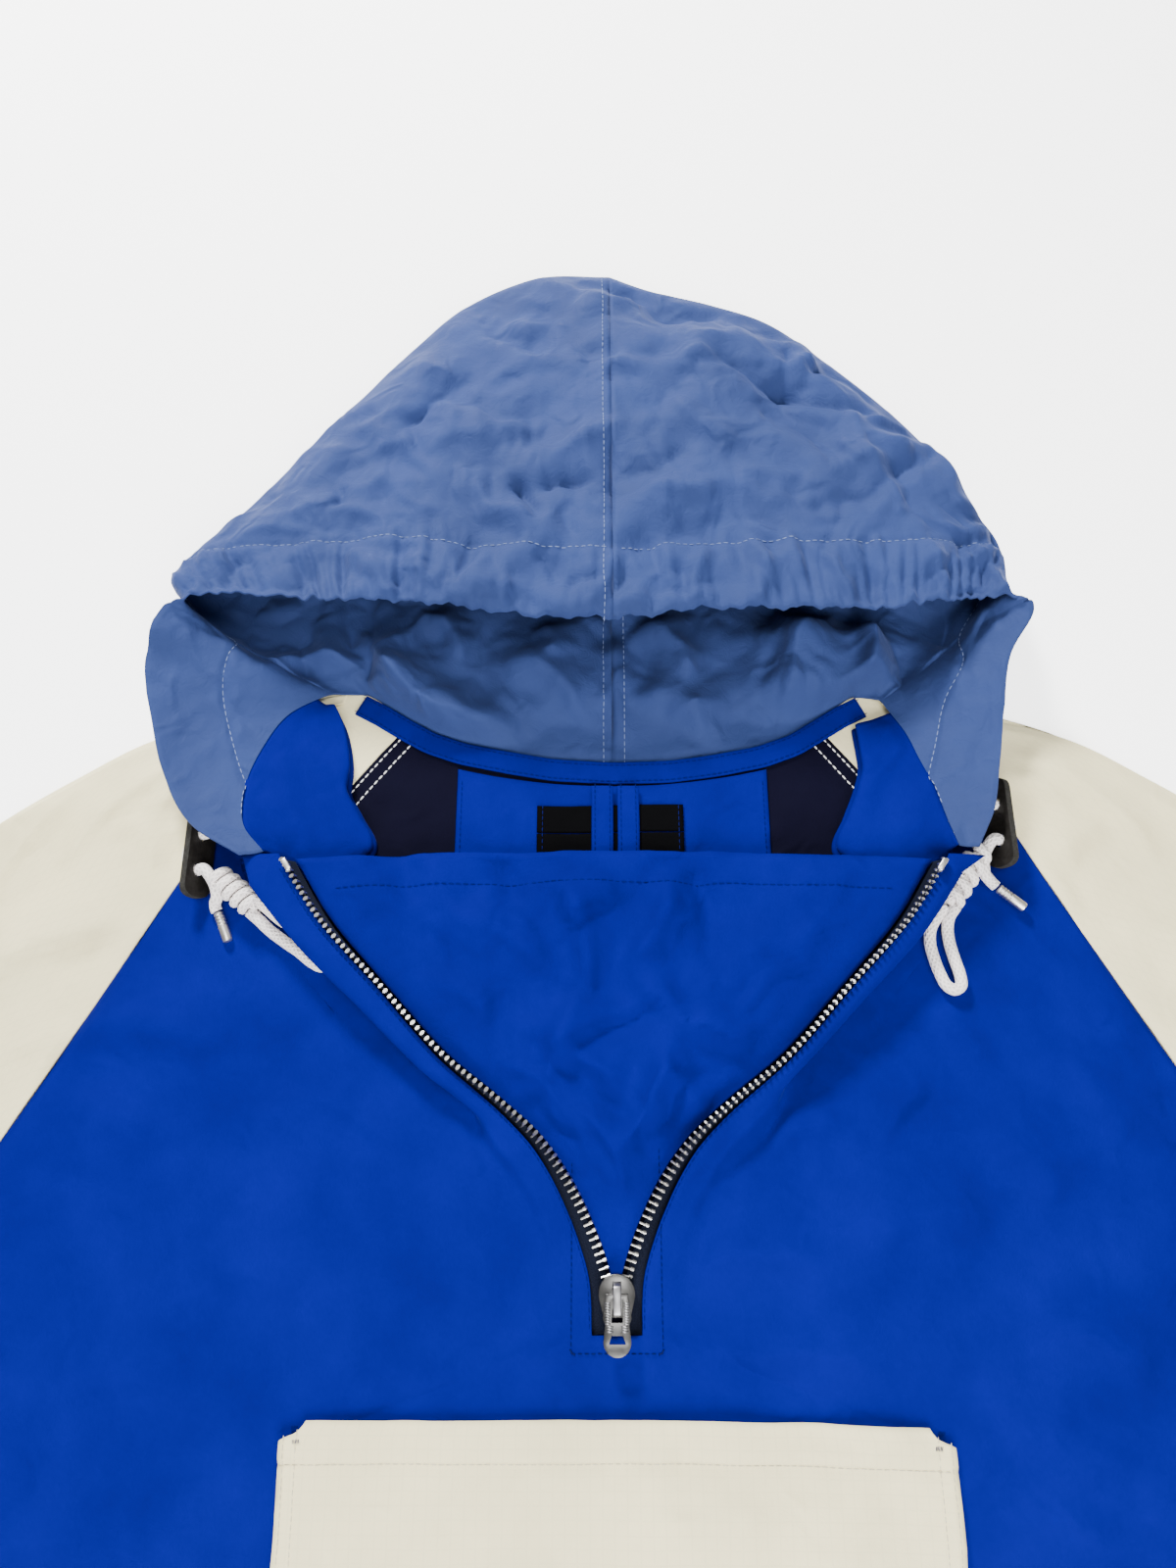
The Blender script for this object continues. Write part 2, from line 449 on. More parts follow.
def grid_mesh(name, grids):
    """One sheet of cloth from grids of points in pattern millimetres, with a UV map in metres."""
    verts, faces, uvs = [], [], []
    for grid in grids:
        g = np.asarray(grid, float)
        rows, cols = g.shape[:2]
        across = np.linalg.norm(np.diff(g, axis=1), axis=2).mean(axis=0)
        along = np.linalg.norm(np.diff(g, axis=0), axis=2).mean(axis=1)
        u = np.concatenate([[0], np.cumsum(across)]) * MM
        v = np.concatenate([[0], np.cumsum(along)]) * MM
        start = len(verts)
        verts.extend(place(g).reshape(-1, 3).tolist())
        index = np.arange(rows * cols).reshape(rows, cols) + start
        quads = np.stack([index[:-1, :-1], index[:-1, 1:], index[1:, 1:], index[1:, :-1]], axis=-1)
        faces.extend(quads.reshape(-1, 4).tolist())
        uv = np.stack(np.meshgrid(u, v), axis=-1).reshape(-1, 2)
        uvs.append(uv[quads.reshape(-1) - start])
    mesh = bpy.data.meshes.new(name)
    mesh.from_pydata(verts, [], faces)
    layer = mesh.uv_layers.new(name="cloth")
    layer.data.foreach_set("uv", np.concatenate(uvs).astype(np.float32).ravel())
    bm = bmesh.new()
    bm.from_mesh(mesh)
    bmesh.ops.remove_doubles(bm, verts=bm.verts, dist=2e-5)
    bmesh.ops.dissolve_degenerate(bm, edges=bm.edges, dist=1e-6)
    bmesh.ops.recalc_face_normals(bm, faces=bm.faces)
    bm.to_mesh(mesh)
    bm.free()
    all_smooth(mesh)
    return mesh


def cloth_piece(name, grids, material, nodes, wall=None):
    """A shell of cloth that stands for CAD nodes, declared with the size of its cut."""
    obj = new_object(name, grid_mesh(name, grids), material)
    thick = obj.modifiers.new("wall", "SOLIDIFY")
    thick.thickness = wall or bpy.context.scene.cloth.wall
    thick.offset = 0
    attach(obj, BODY)
    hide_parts(*nodes)


def tube_mesh(name, points, radius, sides=14):
    """A round tube along points in metres, closed at both ends, with a UV map in metres."""
    p = np.asarray(points, float)
    ahead = unit(np.gradient(p, axis=0))
    side = np.cross(ahead[0], (0, 0, 1.0))
    if np.linalg.norm(side) < 0.1:
        side = np.cross(ahead[0], (0, 1.0, 0))
    rings, travelled = [], np.concatenate([[0], np.cumsum(np.linalg.norm(np.diff(p, axis=0), axis=1))])
    angles = np.linspace(0, 2 * math.pi, sides, endpoint=False)
    for here, way in zip(p, ahead):
        side = side - way * side.dot(way)
        side /= np.linalg.norm(side)
        up = np.cross(way, side)
        rings.append([here + radius * (math.cos(a) * side + math.sin(a) * up) for a in angles])
    verts = [tuple(v) for ring in rings for v in ring]
    faces, uvs = [], []
    for i in range(len(p) - 1):
        for j in range(sides):
            k = (j + 1) % sides
            faces.append((i * sides + j, i * sides + k, (i + 1) * sides + k, (i + 1) * sides + j))
            u0, u1 = j / sides * 2 * math.pi * radius, (j + 1) / sides * 2 * math.pi * radius
            uvs += [(u0, travelled[i]), (u1, travelled[i]), (u1, travelled[i + 1]), (u0, travelled[i + 1])]
    for ring, turned in ((0, True), (len(p) - 1, False)):
        loop = [ring * sides + j for j in range(sides)]
        faces.append(tuple(reversed(loop)) if turned else tuple(loop))
        uvs += [(0.0, 0.0)] * sides
    mesh = bpy.data.meshes.new(name)
    mesh.from_pydata(verts, [], faces)
    mesh.uv_layers.new(name="cloth").data.foreach_set("uv", np.array(uvs, np.float32).ravel())
    all_smooth(mesh)
    return mesh


def copied(node, bevel):
    """A closed copy of a CAD node's mesh, its edges rounded."""
    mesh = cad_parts[node].data.copy()
    mesh.name = node
    mesh.materials.clear()
    bm = bmesh.new()
    bm.from_mesh(mesh)
    bmesh.ops.remove_doubles(bm, verts=bm.verts, dist=1e-6)
    bmesh.ops.dissolve_limit(bm, angle_limit=math.radians(1), verts=bm.verts, edges=bm.edges)
    sharp = [e for e in bm.edges if e.is_manifold and e.calc_face_angle() > math.radians(35)]
    bmesh.ops.bevel(bm, geom=sharp, offset=bevel, segments=2, profile=0.5, affect="EDGES", clamp_overlap=True)
    bmesh.ops.triangulate(bm, faces=[f for f in bm.faces if len(f.verts) > 4])
    bm.to_mesh(mesh)
    bm.free()
    return mesh


def over(name, points, lift):
    """Heights just over a piece's upper face, in pattern millimetres."""
    depsgraph = bpy.context.evaluated_depsgraph_get()
    obj = bpy.data.objects[name].evaluated_get(depsgraph)
    heights = []
    for x, y, _ in place(points):
        hit, at, _, _ = obj.ray_cast((x, y, 0.2), (0, 0, -1))
        heights.append(at[2] / MM + lift if hit else FRONT_MID + 1)
    return heights


def smooth_by_angle(mesh, degrees):
    all_smooth(mesh)
    bm = bmesh.new()
    bm.from_mesh(mesh)
    for e in bm.edges:
        e.smooth = not e.is_manifold or e.calc_face_angle(0) < math.radians(degrees)
    bm.to_mesh(mesh)
    bm.free()


def trim_piece(name, mesh, material, nodes, body=BODY):
    obj = new_object(name, mesh, material)
    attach(obj, body)
    if nodes:
        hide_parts(*nodes)
    return obj


# Geometry Nodes: one shape repeated along lines
def link(tree, a, b):
    tree.links.new(a, b)


def repeat_tree(name, shape):
    """Lines become rows of one shape; X of the shape runs along the line, Z along the `lie` attribute."""
    tree = bpy.data.node_groups.new(name, "GeometryNodeTree")
    face = tree.interface
    face.new_socket("Lines", in_out="INPUT", socket_type="NodeSocketGeometry")
    for label in ("Pitch", "Length", "Width", "Height"):
        socket = face.new_socket(label, in_out="INPUT", socket_type="NodeSocketFloat")
        socket.subtype = "DISTANCE"
        socket.min_value = 0.00005
    face.new_socket("Material", in_out="INPUT", socket_type="NodeSocketMaterial")
    face.new_socket("Geometry", in_out="OUTPUT", socket_type="NodeSocketGeometry")
    add = tree.nodes.new
    given, result = add("NodeGroupInput"), add("NodeGroupOutput")
    curve, spaced = add("GeometryNodeMeshToCurve"), add("GeometryNodeResampleCurve")
    spaced.mode = "LENGTH"
    lie = add("GeometryNodeInputNamedAttribute")
    lie.data_type = "FLOAT_VECTOR"
    lie.inputs["Name"].default_value = "lie"
    turn = add("FunctionNodeAxesToRotation")
    turn.primary_axis, turn.secondary_axis = "X", "Z"
    tangent, size = add("GeometryNodeInputTangent"), add("ShaderNodeCombineXYZ")
    on, real = add("GeometryNodeInstanceOnPoints"), add("GeometryNodeRealizeInstances")
    paint = add("GeometryNodeSetMaterial")
    for source, output, target, entry in (
            (given, "Lines", curve, "Mesh"), (curve, "Curve", spaced, "Curve"), (given, "Pitch", spaced, "Length"),
            (tangent, "Tangent", turn, "Primary Axis"), (lie, "Attribute", turn, "Secondary Axis"),
            (given, "Length", size, "X"), (given, "Width", size, "Y"), (given, "Height", size, "Z"),
            (spaced, "Curve", on, "Points"), (turn, "Rotation", on, "Rotation"), (size, "Vector", on, "Scale"),
            (on, "Instances", real, "Geometry"), (real, "Geometry", paint, "Geometry"),
            (given, "Material", paint, "Material"), (paint, "Geometry", result, "Geometry")):
        link(tree, source.outputs[output], target.inputs[entry])
    link(tree, shape(tree), on.inputs["Instance"])
    return tree


def stitch_shape(tree):
    """One stitch: a rounded thread, 1 long, 1 wide and 1 high."""
    ball = tree.nodes.new("GeometryNodeMeshUVSphere")
    ball.inputs["Segments"].default_value = 6
    ball.inputs["Rings"].default_value = 4
    ball.inputs["Radius"].default_value = 0.5
    soft = tree.nodes.new("GeometryNodeSetShadeSmooth")
    link(tree, ball.outputs["Mesh"], soft.inputs["Geometry"])
    return soft.outputs["Geometry"]


def tooth_shape(tree):
    """One zip tooth: a bar across the tape with a thicker head on the inner end, 1 in each direction."""
    joined = tree.nodes.new("GeometryNodeJoinGeometry")
    for size, at in (((0.5, 0.7, 0.66), (0, 0.15, 0)), ((0.8, 0.34, 1.0), (0.08, -0.33, 0))):
        bar = tree.nodes.new("GeometryNodeMeshCylinder")
        bar.inputs["Vertices"].default_value = 8
        bar.inputs["Radius"].default_value = 0.5
        bar.inputs["Depth"].default_value = 1.0
        moved = tree.nodes.new("GeometryNodeTransform")
        moved.inputs["Rotation"].default_value = (math.radians(90), 0, 0)
        moved.inputs["Scale"].default_value = (size[0], size[2], size[1])
        moved.inputs["Translation"].default_value = at
        link(tree, bar.outputs["Mesh"], moved.inputs["Geometry"])
        link(tree, moved.outputs["Geometry"], joined.inputs["Geometry"])
    return joined.outputs["Geometry"]


def repeated(name, lines, tree, sizes, material):
    """A row of shapes along lines, each a list of (point, lie) in metres, as one plain mesh."""
    verts, edges, lies = [], [], []
    for points, lie in lines:
        start = len(verts)
        verts.extend(np.asarray(points, float).tolist())
        lies.append(np.broadcast_to(np.asarray(lie, float), (len(points), 3)))
        edges.extend((start + i, start + i + 1) for i in range(len(points) - 1))
    mesh = bpy.data.meshes.new(name + "_lines")
    mesh.from_pydata(verts, edges, [])
    mesh.attributes.new("lie", "FLOAT_VECTOR", "POINT").data.foreach_set(
        "vector", np.concatenate(lies).astype(np.float32).ravel())
    guide = new_object(name + "_lines", mesh)
    modifier = guide.modifiers.new("repeat", "NODES")
    modifier.node_group = tree
    wanted = dict(sizes, Material=material)
    for socket in tree.interface.items_tree:
        if getattr(socket, "in_out", "") == "INPUT" and socket.name in wanted:
            modifier[socket.identifier] = wanted[socket.name]
    depsgraph = bpy.context.evaluated_depsgraph_get()
    plain = bpy.data.meshes.new_from_object(guide.evaluated_get(depsgraph), depsgraph=depsgraph)
    plain.name = name
    bpy.data.objects.remove(guide)
    if not plain.polygons:
        raise RuntimeError(f"{name} came out empty")
    if not plain.materials:
        plain.materials.append(material)
    trim_piece(name, plain, None, ())


def stitch_rows():
    return bpy.data.node_groups.get("row of stitches") or repeat_tree("row of stitches", stitch_shape)


def sew(name, lines, thread_name, thick=1.0, pitch=1.0):
    """Rows of stitches; thick and pitch are shares of the trim settings."""
    trim = bpy.context.scene.trim
    step = trim.stitch_pitch * pitch
    sizes = {"Pitch": step, "Length": step * 0.86, "Width": trim.thread * thick, "Height": trim.thread * 0.8 * thick}
    repeated(name, lines, stitch_rows(), sizes, finish(thread_name))


# Materials
def solid(colour, share=1.0):
    """A colour made darker by a share, with nothing seen through it."""
    return tuple(c * share for c in colour) + (1.0,)


class Paint:
    """A node material and short ways to add its nodes."""

    def __init__(self, name):
        self.material = bpy.data.materials.new(name)
        self.material.use_nodes = True

    def feed(self, made, values):
        """Link or set a node's inputs."""
        for key, value in values.items():
            if isinstance(value, bpy.types.NodeSocket):
                self.material.node_tree.links.new(value, made.inputs[key])
            else:
                made.inputs[key].default_value = value

    def add(self, kind, values, **settings):
        made = self.material.node_tree.nodes.new("ShaderNode" + kind)
        for key, value in settings.items():
            setattr(made, key, value)
        self.feed(made, values)
        return made

    def at(self, space):
        return self.add("TexCoord", {}).outputs[space]

    def noise(self, spot, scale, detail, more=None, **settings):
        values = {"Vector": spot, "Scale": scale, "Detail": detail, **(more or {})}
        return self.add("TexNoise", values, **settings).outputs["Fac"]

    def wave(self, spot, way, more):
        values = {"Vector": spot, "Scale": 1.0, **more}
        return self.add("TexWave", values, wave_type="BANDS", bands_direction=way).outputs["Fac"]

    def math(self, operation, *values):
        return self.add("Math", dict(enumerate(values)), operation=operation).outputs[0]

    def spread(self, value, low, high, more=None):
        values = {"Value": value, "To Min": low, "To Max": high, **(more or {})}
        return self.add("MapRange", values).outputs["Result"]

    def mixed(self, share, first, second):
        return self.add("MixRGB", {"Fac": share, "Color1": first, "Color2": second}).outputs["Color"]

    def shade(self, value, low, dark, high, light):
        """A colour that goes from dark to light as a value rises from low to high."""
        made = self.add("ValToRGB", {"Fac": value})
        for i, (at, colour) in enumerate(((low, dark), (high, light))):
            made.color_ramp.elements[i].position = at
            made.color_ramp.elements[i].color = colour
        return made.outputs["Color"]

    def bump(self, height, strength, distance, under=None):
        values = {"Height": height, "Strength": strength, "Distance": distance}
        if under is not None:
            values["Normal"] = under
        return self.add("Bump", values).outputs["Normal"]

    def done(self, values):
        self.feed(self.material.node_tree.nodes["Principled BSDF"], values)
        return self.material


def woven(name, colour, rough=0.78, sheen=0.12, gloss=0.15, thread=0.55, weave=0.12, fine=0.35, worn=0.10,
          grid=0.0, fade=0.12):
    """Plain woven cloth: threads, fine creases with paler worn tops, and patches a little lighter or darker."""
    paint = Paint(name)
    uv, spot = paint.at("UV"), paint.at("Object")
    scale = 314.0 / thread
    threads = paint.add("Mapping", {"Vector": uv, "Scale": (scale, scale, scale)}).outputs["Vector"]
    weaving = paint.math("MAXIMUM", *(paint.wave(threads, way, {"Distortion": 0.6, "Detail": 1.0}) for way in "XY"))
    patches = paint.noise(spot, 16.0, 5.0, {"Roughness": 0.6})
    creased = paint.noise(spot, 48.0, 5.0, {"Roughness": 0.62, "Distortion": 1.1},
                          noise_type="RIDGED_MULTIFRACTAL", normalize=True)
    broken = paint.noise(spot, 120.0, 4.0, {"Roughness": 0.7, "Distortion": 0.8})
    top = max(colour)
    pale = tuple(min(0.95, 0.55 * c + 0.75 * top + 0.04) for c in colour)
    tops = paint.spread(creased, 0.0, worn, {"From Min": 0.72, "From Max": 1.0})
    shown = paint.mixed(tops, paint.shade(patches, 0.34, solid(colour, 1 - 1.6 * fade), 0.66, solid(colour)),
                        solid(pale))
    if grid:
        cells = paint.add("Mapping", {"Vector": uv, "Scale": (200.0, 200.0, 200.0)}).outputs["Vector"]
        axes = paint.add("SeparateXYZ", {"Vector": cells}).outputs
        lines = [paint.math("LESS_THAN", paint.math("FRACT", axes[way]), 0.13) for way in "XY"]
        share = paint.math("MULTIPLY", paint.math("MAXIMUM", *lines), grid)
        shown = paint.mixed(share, shown, solid(colour, 0.72))
    relief = paint.bump(creased, fine, 0.0030, paint.bump(broken, fine, 0.0009))
    return paint.done({
        "Base Color": shown, "Normal": paint.bump(weaving, weave, 0.0002, relief),
        "Roughness": paint.spread(patches, rough - 0.06, rough + 0.06), "Sheen Weight": sheen,
        "Sheen Roughness": 0.45, "Sheen Tint": solid(0.25 + 0.75 * c / top for c in colour),
        "Specular IOR Level": gloss})


def metal(name, colour, rough):
    """Nickel, a little scratched and dulled in patches."""
    paint = Paint(name)
    dull = paint.noise(paint.at("Object"), 260.0, 4.0)
    return paint.done({
        "Base Color": paint.shade(dull, 0.3, solid(colour, 0.78), 0.7, solid(colour)), "Metallic": 1.0,
        "Roughness": paint.spread(dull, rough - 0.08, rough + 0.12), "Normal": paint.bump(dull, 0.12, 0.0001)})


def thread(name, colour):
    """Sewing thread: matt, with a fine twist."""
    paint = Paint(name)
    twist = paint.noise(paint.at("Object"), 900.0, 2.0)
    return paint.done({
        "Base Color": paint.shade(twist, 0.3, solid(colour, 0.75), 0.6, solid(colour)), "Roughness": 0.8,
        "Specular IOR Level": 0.08})


def braid(name, colour):
    """Round braided cord: two sets of strands that cross."""
    paint = Paint(name)
    uv = paint.at("UV")
    heights = []
    for turn in (0.62, -0.62):
        strands = paint.add("Mapping", {"Vector": uv, "Rotation": (0, 0, turn), "Scale": (170.0, 170.0, 170.0)})
        heights.append(paint.wave(strands.outputs["Vector"], "X", {"Distortion": 0.4}))
    both = paint.math("MAXIMUM", *heights)
    return paint.done({
        "Base Color": paint.shade(both, 0.2, solid(colour, 0.72), 0.75, solid(colour)), "Roughness": 0.85,
        "Normal": paint.bump(both, 0.8, 0.0005), "Sheen Weight": 0.3})


def leather(name, colour, rough, scale, depth):
    """Leather: fine grain with rubbed high spots."""
    paint = Paint(name)
    spot = paint.at("Object")
    cells = paint.add("TexVoronoi", {"Vector": spot, "Scale": scale}).outputs["Distance"]
    wear = paint.noise(spot, scale * 0.4, 6.0, {"Roughness": 0.7})
    pale = tuple(c * 2.0 + 0.003 for c in colour)
    return paint.done({
        "Base Color": paint.shade(wear, 0.42, solid(colour), 0.72, solid(pale)), "Roughness": rough,
        "Normal": paint.bump(paint.math("ADD", cells, wear), 0.6, depth), "Specular IOR Level": 0.15})


FINISHES = {}


def finish(key):
    """A material that several pieces share, made on its first use."""
    if key in FINISHES:
        return FINISHES[key]
    cloth, trim = bpy.context.scene.cloth, bpy.context.scene.trim
    makers = {
        "hood": lambda: woven("hood cloth", cloth.hood_colour, fine=0.75, worn=0.30, fade=0.10),
        "cobalt": lambda: woven("cobalt cloth", cloth.cobalt_colour, sheen=0.05, gloss=0.03, worn=0.05, fade=0.16),
        "navy": lambda: woven("navy cloth", cloth.navy_colour, sheen=0.01, gloss=0.02, worn=0.01),
        "cream": lambda: woven("cream ripstop", cloth.cream_colour, worn=0.04, grid=0.16, fade=0.08),
        "tape": lambda: woven("zip tape weave", (0.0045, 0.006, 0.014), sheen=0.03, gloss=0.05, thread=1.1, weave=0.5,
                              fine=0.1, worn=0.02),
        "label": lambda: woven("label satin", (0.0022, 0.0022, 0.0026), rough=0.8, sheen=0.0, gloss=0.01, thread=0.4,
                               fine=0.2, worn=0.0),
        "nickel": lambda: metal("nickel", (0.105, 0.103, 0.10), 0.30),
        "satin nickel": lambda: metal("satin nickel", (0.30, 0.297, 0.305), 0.40),
        "teeth": lambda: metal("nickel teeth", (0.70, 0.68, 0.64), 0.36),
        "cord": lambda: braid("drawcord", trim.cord_colour),
        "leather": lambda: leather("toggle leather", trim.leather_colour, 0.42, 900.0, 0.0002),
        "cut edge": lambda: leather("toggle cut edge", (0.016, 0.0155, 0.0145), 0.85, 1400.0, 0.0005),
        "white thread": lambda: thread("white thread", (0.85, 0.85, 0.84)),
        "hood thread": lambda: thread("pale blue thread", (0.17, 0.22, 0.40)),
        "blue thread": lambda: thread("blue thread", (0.001, 0.003, 0.085)),
        "hem thread": lambda: thread("cream hem thread", (0.62, 0.56, 0.42)),
        "navy thread": lambda: thread("navy thread", (0.002, 0.004, 0.05)),
    }
    FINISHES[key] = makers[key]()
    return FINISHES[key]


# Shapes that several pieces follow
def zip_column(name, row):
    i = ZIP_COLUMNS.index(name)
    return np.interp(row, np.arange(len(ZIP)), [r[i] for r in ZIP])


def zip_line(sign, row):
    """Points on the row of teeth and the outward direction in plan."""
    row = np.atleast_1d(np.asarray(row, float))
    last = len(ZIP) - 1
    point = spline([(r[0] * sign, r[1], r[2]) for r in ZIP])(row / last)
    late, early = np.minimum(last, row + 0.3), np.maximum(0, row - 0.3)
    ax = (zip_column("x", late) - zip_column("x", early)) * sign
    ay = zip_column("y", late) - zip_column("y", early)
    out = np.stack([ay * sign, -ax * sign, np.zeros_like(ax)], axis=1)
    out = unit(out)
    out[row < 0.01] = (sign, 0, 0)
    return point, out


def beside_zip(point, out, outward, z):
    p = point + out * np.asarray(outward, float).reshape(-1, 1)
    p[:, 2] = z
    return p


def tape_way(row):
    lean = np.radians(zip_column("lean", row))
    return np.cos(lean), np.sin(lean)


def front_height(x, y):
    edge = smooth((ARMPIT[0] - np.abs(x)) / 60) * smooth((y - HEM_Y) / 40)
    return FRONT_MID - 0.3 + 0.3 * edge + edge * folds(FRONT_FOLDS, x, y)


def front_creases(x, y):
    """Soft creases of the lying front, with the small crumple of worn cloth."""
    edge = smooth((ARMPIT[0] + 6 - np.abs(x)) / 40) * smooth((y - HEM_Y) / 30)
    under_cords = 0.9 * np.exp(-((np.abs(x) - 152) / 30) ** 2 - ((y - 112) / 34) ** 2)
    worn = crumple(x, y, 21, ((120, 3.0), (70, 2.0), (34, 0.8), (16, 0.25)))
    return edge * (1 - under_cords) * (3.0 * creases(FRONT_CREASES, x, y) + worn)


def seam(table, sign, share):
    at = hermite([r[0] for r in table], [(r[1], r[2]) for r in table])(share)
    return np.stack([at[:, 0] * sign, at[:, 1], np.zeros(len(at))], axis=1)


def strip_profile(side, sign, row):
    """Eight places from the cloth's edge beside the zip outward, one line for each row."""
    row = np.atleast_1d(np.asarray(row, float))
    point, out = zip_line(sign, row)
    width, edge = zip_column(side, row), zip_column("edge", row)
    lean_out, lean_down = tape_way(row)
    top = point[:, 2]
    edge_out = edge * lean_out + 1.75 * lean_down
    edge_z = top - edge * lean_down + 1.35 * lean_out
    tuck = np.clip(width - np.maximum(2.4, TAPE_WIDTH * lean_out + 1.9), 0, 11)
    doubled = smooth(tuck / 4)
    single = (
        (edge_out, edge_z), (edge_out + 2.5, edge_z + 0.2), (edge_out + 5, edge_z - 0.2),
        (edge_out + 8, edge_z - 0.9), (edge_out + 11, edge_z - 1.6),
        (edge_out + 15, mix(edge_z, FRONT_MID, 0.75)), (edge_out + 20, FRONT_MID + 0.3),
        (edge_out + 27, FRONT_MID),
    )
    folded = (
        (edge_out, edge_z), (mix(edge_out, width, 0.45), top - 1.6), (mix(edge_out, width, 0.85), top - 2.2),
        (width + 0.6, top - 4.4), (width - tuck * 0.4, top - 7.4),
        (width - tuck, mix(FRONT_MID, top - 7.4, 0.4)), (width - tuck * 0.72, FRONT_MID + 0.2),
        (width + 7, FRONT_MID),
    )
    lines = [beside_zip(point, out, mix(d, fd, doubled), mix(z, fz, doubled))
             for (d, z), (fd, fz) in zip(single, folded)]
    return np.stack(lines, axis=1)


ZIP_ROWS = np.arange(0, 8.01, 0.5)
FRONT_LOW = 2.3  # nothing of the front sinks below this
LYING = (0.14, 0.3, 0.48, 0.66, 0.82, 0.92, 1)
BELOW = (-60, -72, -88, -110, -150, -200, -260, -330, -400, -460, HEM_Y)


def front_half(side, sign):
    """The grids of one half of the front: the half, its middle strip, the strip's top and the neck part."""
    profile = strip_profile(side, sign, ZIP_ROWS)
    last = len(ZIP_ROWS) - 1
    share = np.linspace(0, 1, last + 1)
    outer = seam(FRONT_RAGLAN, sign, mix(1, 0.2, smooth(share) * 0.35 + share * 0.65))
    outer[:, 2] = FRONT_MID - 0.3
    rows = []
    for i in range(last + 1):
        start = profile[i, -1]
        lying = np.array([mix(start, outer[i], t) for t in LYING])
        lying[:-1, 2] = front_height(lying[:-1, 0], lying[:-1, 1])
        rows.append(np.vstack([profile[i], lying]))
    lowest = rows[0]
    columns = len(lowest)
    first, reach = abs(lowest[0, 0]), abs(lowest[-1, 0])
    lower = []
    for k, y in enumerate(BELOW):
        blend = smooth((k + 1) / 4)
        side_x = mix(ARMPIT[0], HEM_HALF, (ARMPIT[1] - min(y, ARMPIT[1])) / (ARMPIT[1] - HEM_Y))
        side_y = min(ARMPIT[1] - (k + 1) * 6, y)
        t = (np.abs(lowest[:, 0]) - first) / (reach - first)
        even = np.arange(columns) / (columns - 1)
        inner = first * (1 - smooth((k + 1) / 3))
        x = mix(inner, side_x, mix(t, even, blend))
        yy = mix(y, side_y, smooth(x / side_x))
        flat = front_height(x, yy)
        z = mix(mix(lowest[:, 2], flat, 0.55), flat, smooth((k + 1) / 3))
        lower.append(np.stack([x * sign, yy, z], axis=1))
    coarse = np.array(lower[::-1] + rows)
    step = bpy.context.scene.cloth.step / MM
    tall, row_at = finer(coarse, step * 1.45, 0)
    main, column_at = finer(tall, step * 1.45, 1)
    bare = main.copy()
    lying = smooth((column_at - 5.5) / 2)[None, :] * np.ones((len(main), 1))
    lying = np.maximum(lying, smooth((len(BELOW) - 1 - row_at) / 2)[:, None])
    seam_edge = smooth((column_at[-1] - column_at) / 0.5)[None, :]
    main[..., 2] += lying * seam_edge * front_creases(main[..., 0], main[..., 1])
    strip = (1 - lying) * smooth(column_at / 1.5)[None, :]
    main[..., 2] += strip * crumple(main[..., 0], main[..., 1], 47, ((26, 0.7), (11, 0.3)))
    main[..., 2] = np.maximum(main[..., 2], FRONT_LOW)
    # Strip that closes the front below the slit
    low = row_at <= len(BELOW) + 1e-6
    edge = bare[low, 0]
    shares = np.linspace(0, 1, 5)
    middle = edge[:, None, :] * np.ones((1, 5, 1))
    middle[..., 0] = edge[:, None, 0] * shares[None, :]
    creased = smooth((len(BELOW) - 1 - row_at[low]) / 2)[:, None]
    middle[..., 2] += creased * front_creases(middle[..., 0], middle[..., 1])
    middle[..., 2] = np.maximum(middle[..., 2], FRONT_LOW)
    # Strip's top, up to the hood's lower corner
    top = main[-1, column_at <= 2.7]
    under_hood = np.array([(mix(-154.5, -172, t) * -sign, mix(149.8, 149.5, t), mix(23.4, 21.5, t))
                           for t in np.linspace(0, 1, len(top))])
    corner = np.array([mix(top, under_hood, t) for t in np.linspace(0, 1, 6)])
    lying = column_at >= 7 - 1e-6
    return main, middle, corner, front_turn(side, sign, main[-1, lying], column_at[lying])


def front_turn(side, sign, base, at):
    """The neck part, from the top row's lying columns over the turn to the neck seam."""
    turn = spline([(x * sign, y, FRONT_MID + 1.7) for x, y in TURN[side]])
    neck = spline([(x * sign, y, z) for x, y, z in NECK[side][9:][::-1]])
    t = (at - 7) / (at[-1] - 7)
    a, b = turn(np.maximum(0, t - 0.05)), turn(np.minimum(1, t + 0.05))
    out = unit(np.stack([b[:, 1] - a[:, 1], a[:, 0] - b[:, 0], np.zeros(len(a))], axis=1) * -sign)
    fold, rim = turn(t), neck(t * 0.97 + 0.01)
    under = fold + out * 3.2
    under[:, 2] = FRONT_MID
    over = fold + out * 2.6
    over[:, 2] = FRONT_MID + 3.9
    half = mix(base, under, 0.55)
    half[:, 2] = FRONT_MID
    mid = mix(over, rim, 0.5)
    mid[:, 2] -= 0.8
    coarse = np.array([base, half, under, fold, over, mid, mix(over, rim, 1.01) - (0, 0, 0.4)])
    fine, row_at = finer(coarse, 3.0, 0)
    x, y = fine[..., 0], fine[..., 1]
    wave = creases(TURN_CREASES, x, y) + crumple(x, y, 61, ((32, 1.2), (14, 0.5)))
    fine[..., 2] += smooth((row_at - 3.6) / 0.8)[:, None] * smooth((6 - row_at) / 0.6)[:, None] * wave
    return fine


def back_height(x, y):
    rise = creases(BACK_CREASES, x, y) + 0.35 * smooth(crumple(x, y, 33, ((30, 1.0), (12, 0.4))) + 0.4)
    return FLOOR_MID + np.maximum(0, rise) * smooth((y - 60) / 30)


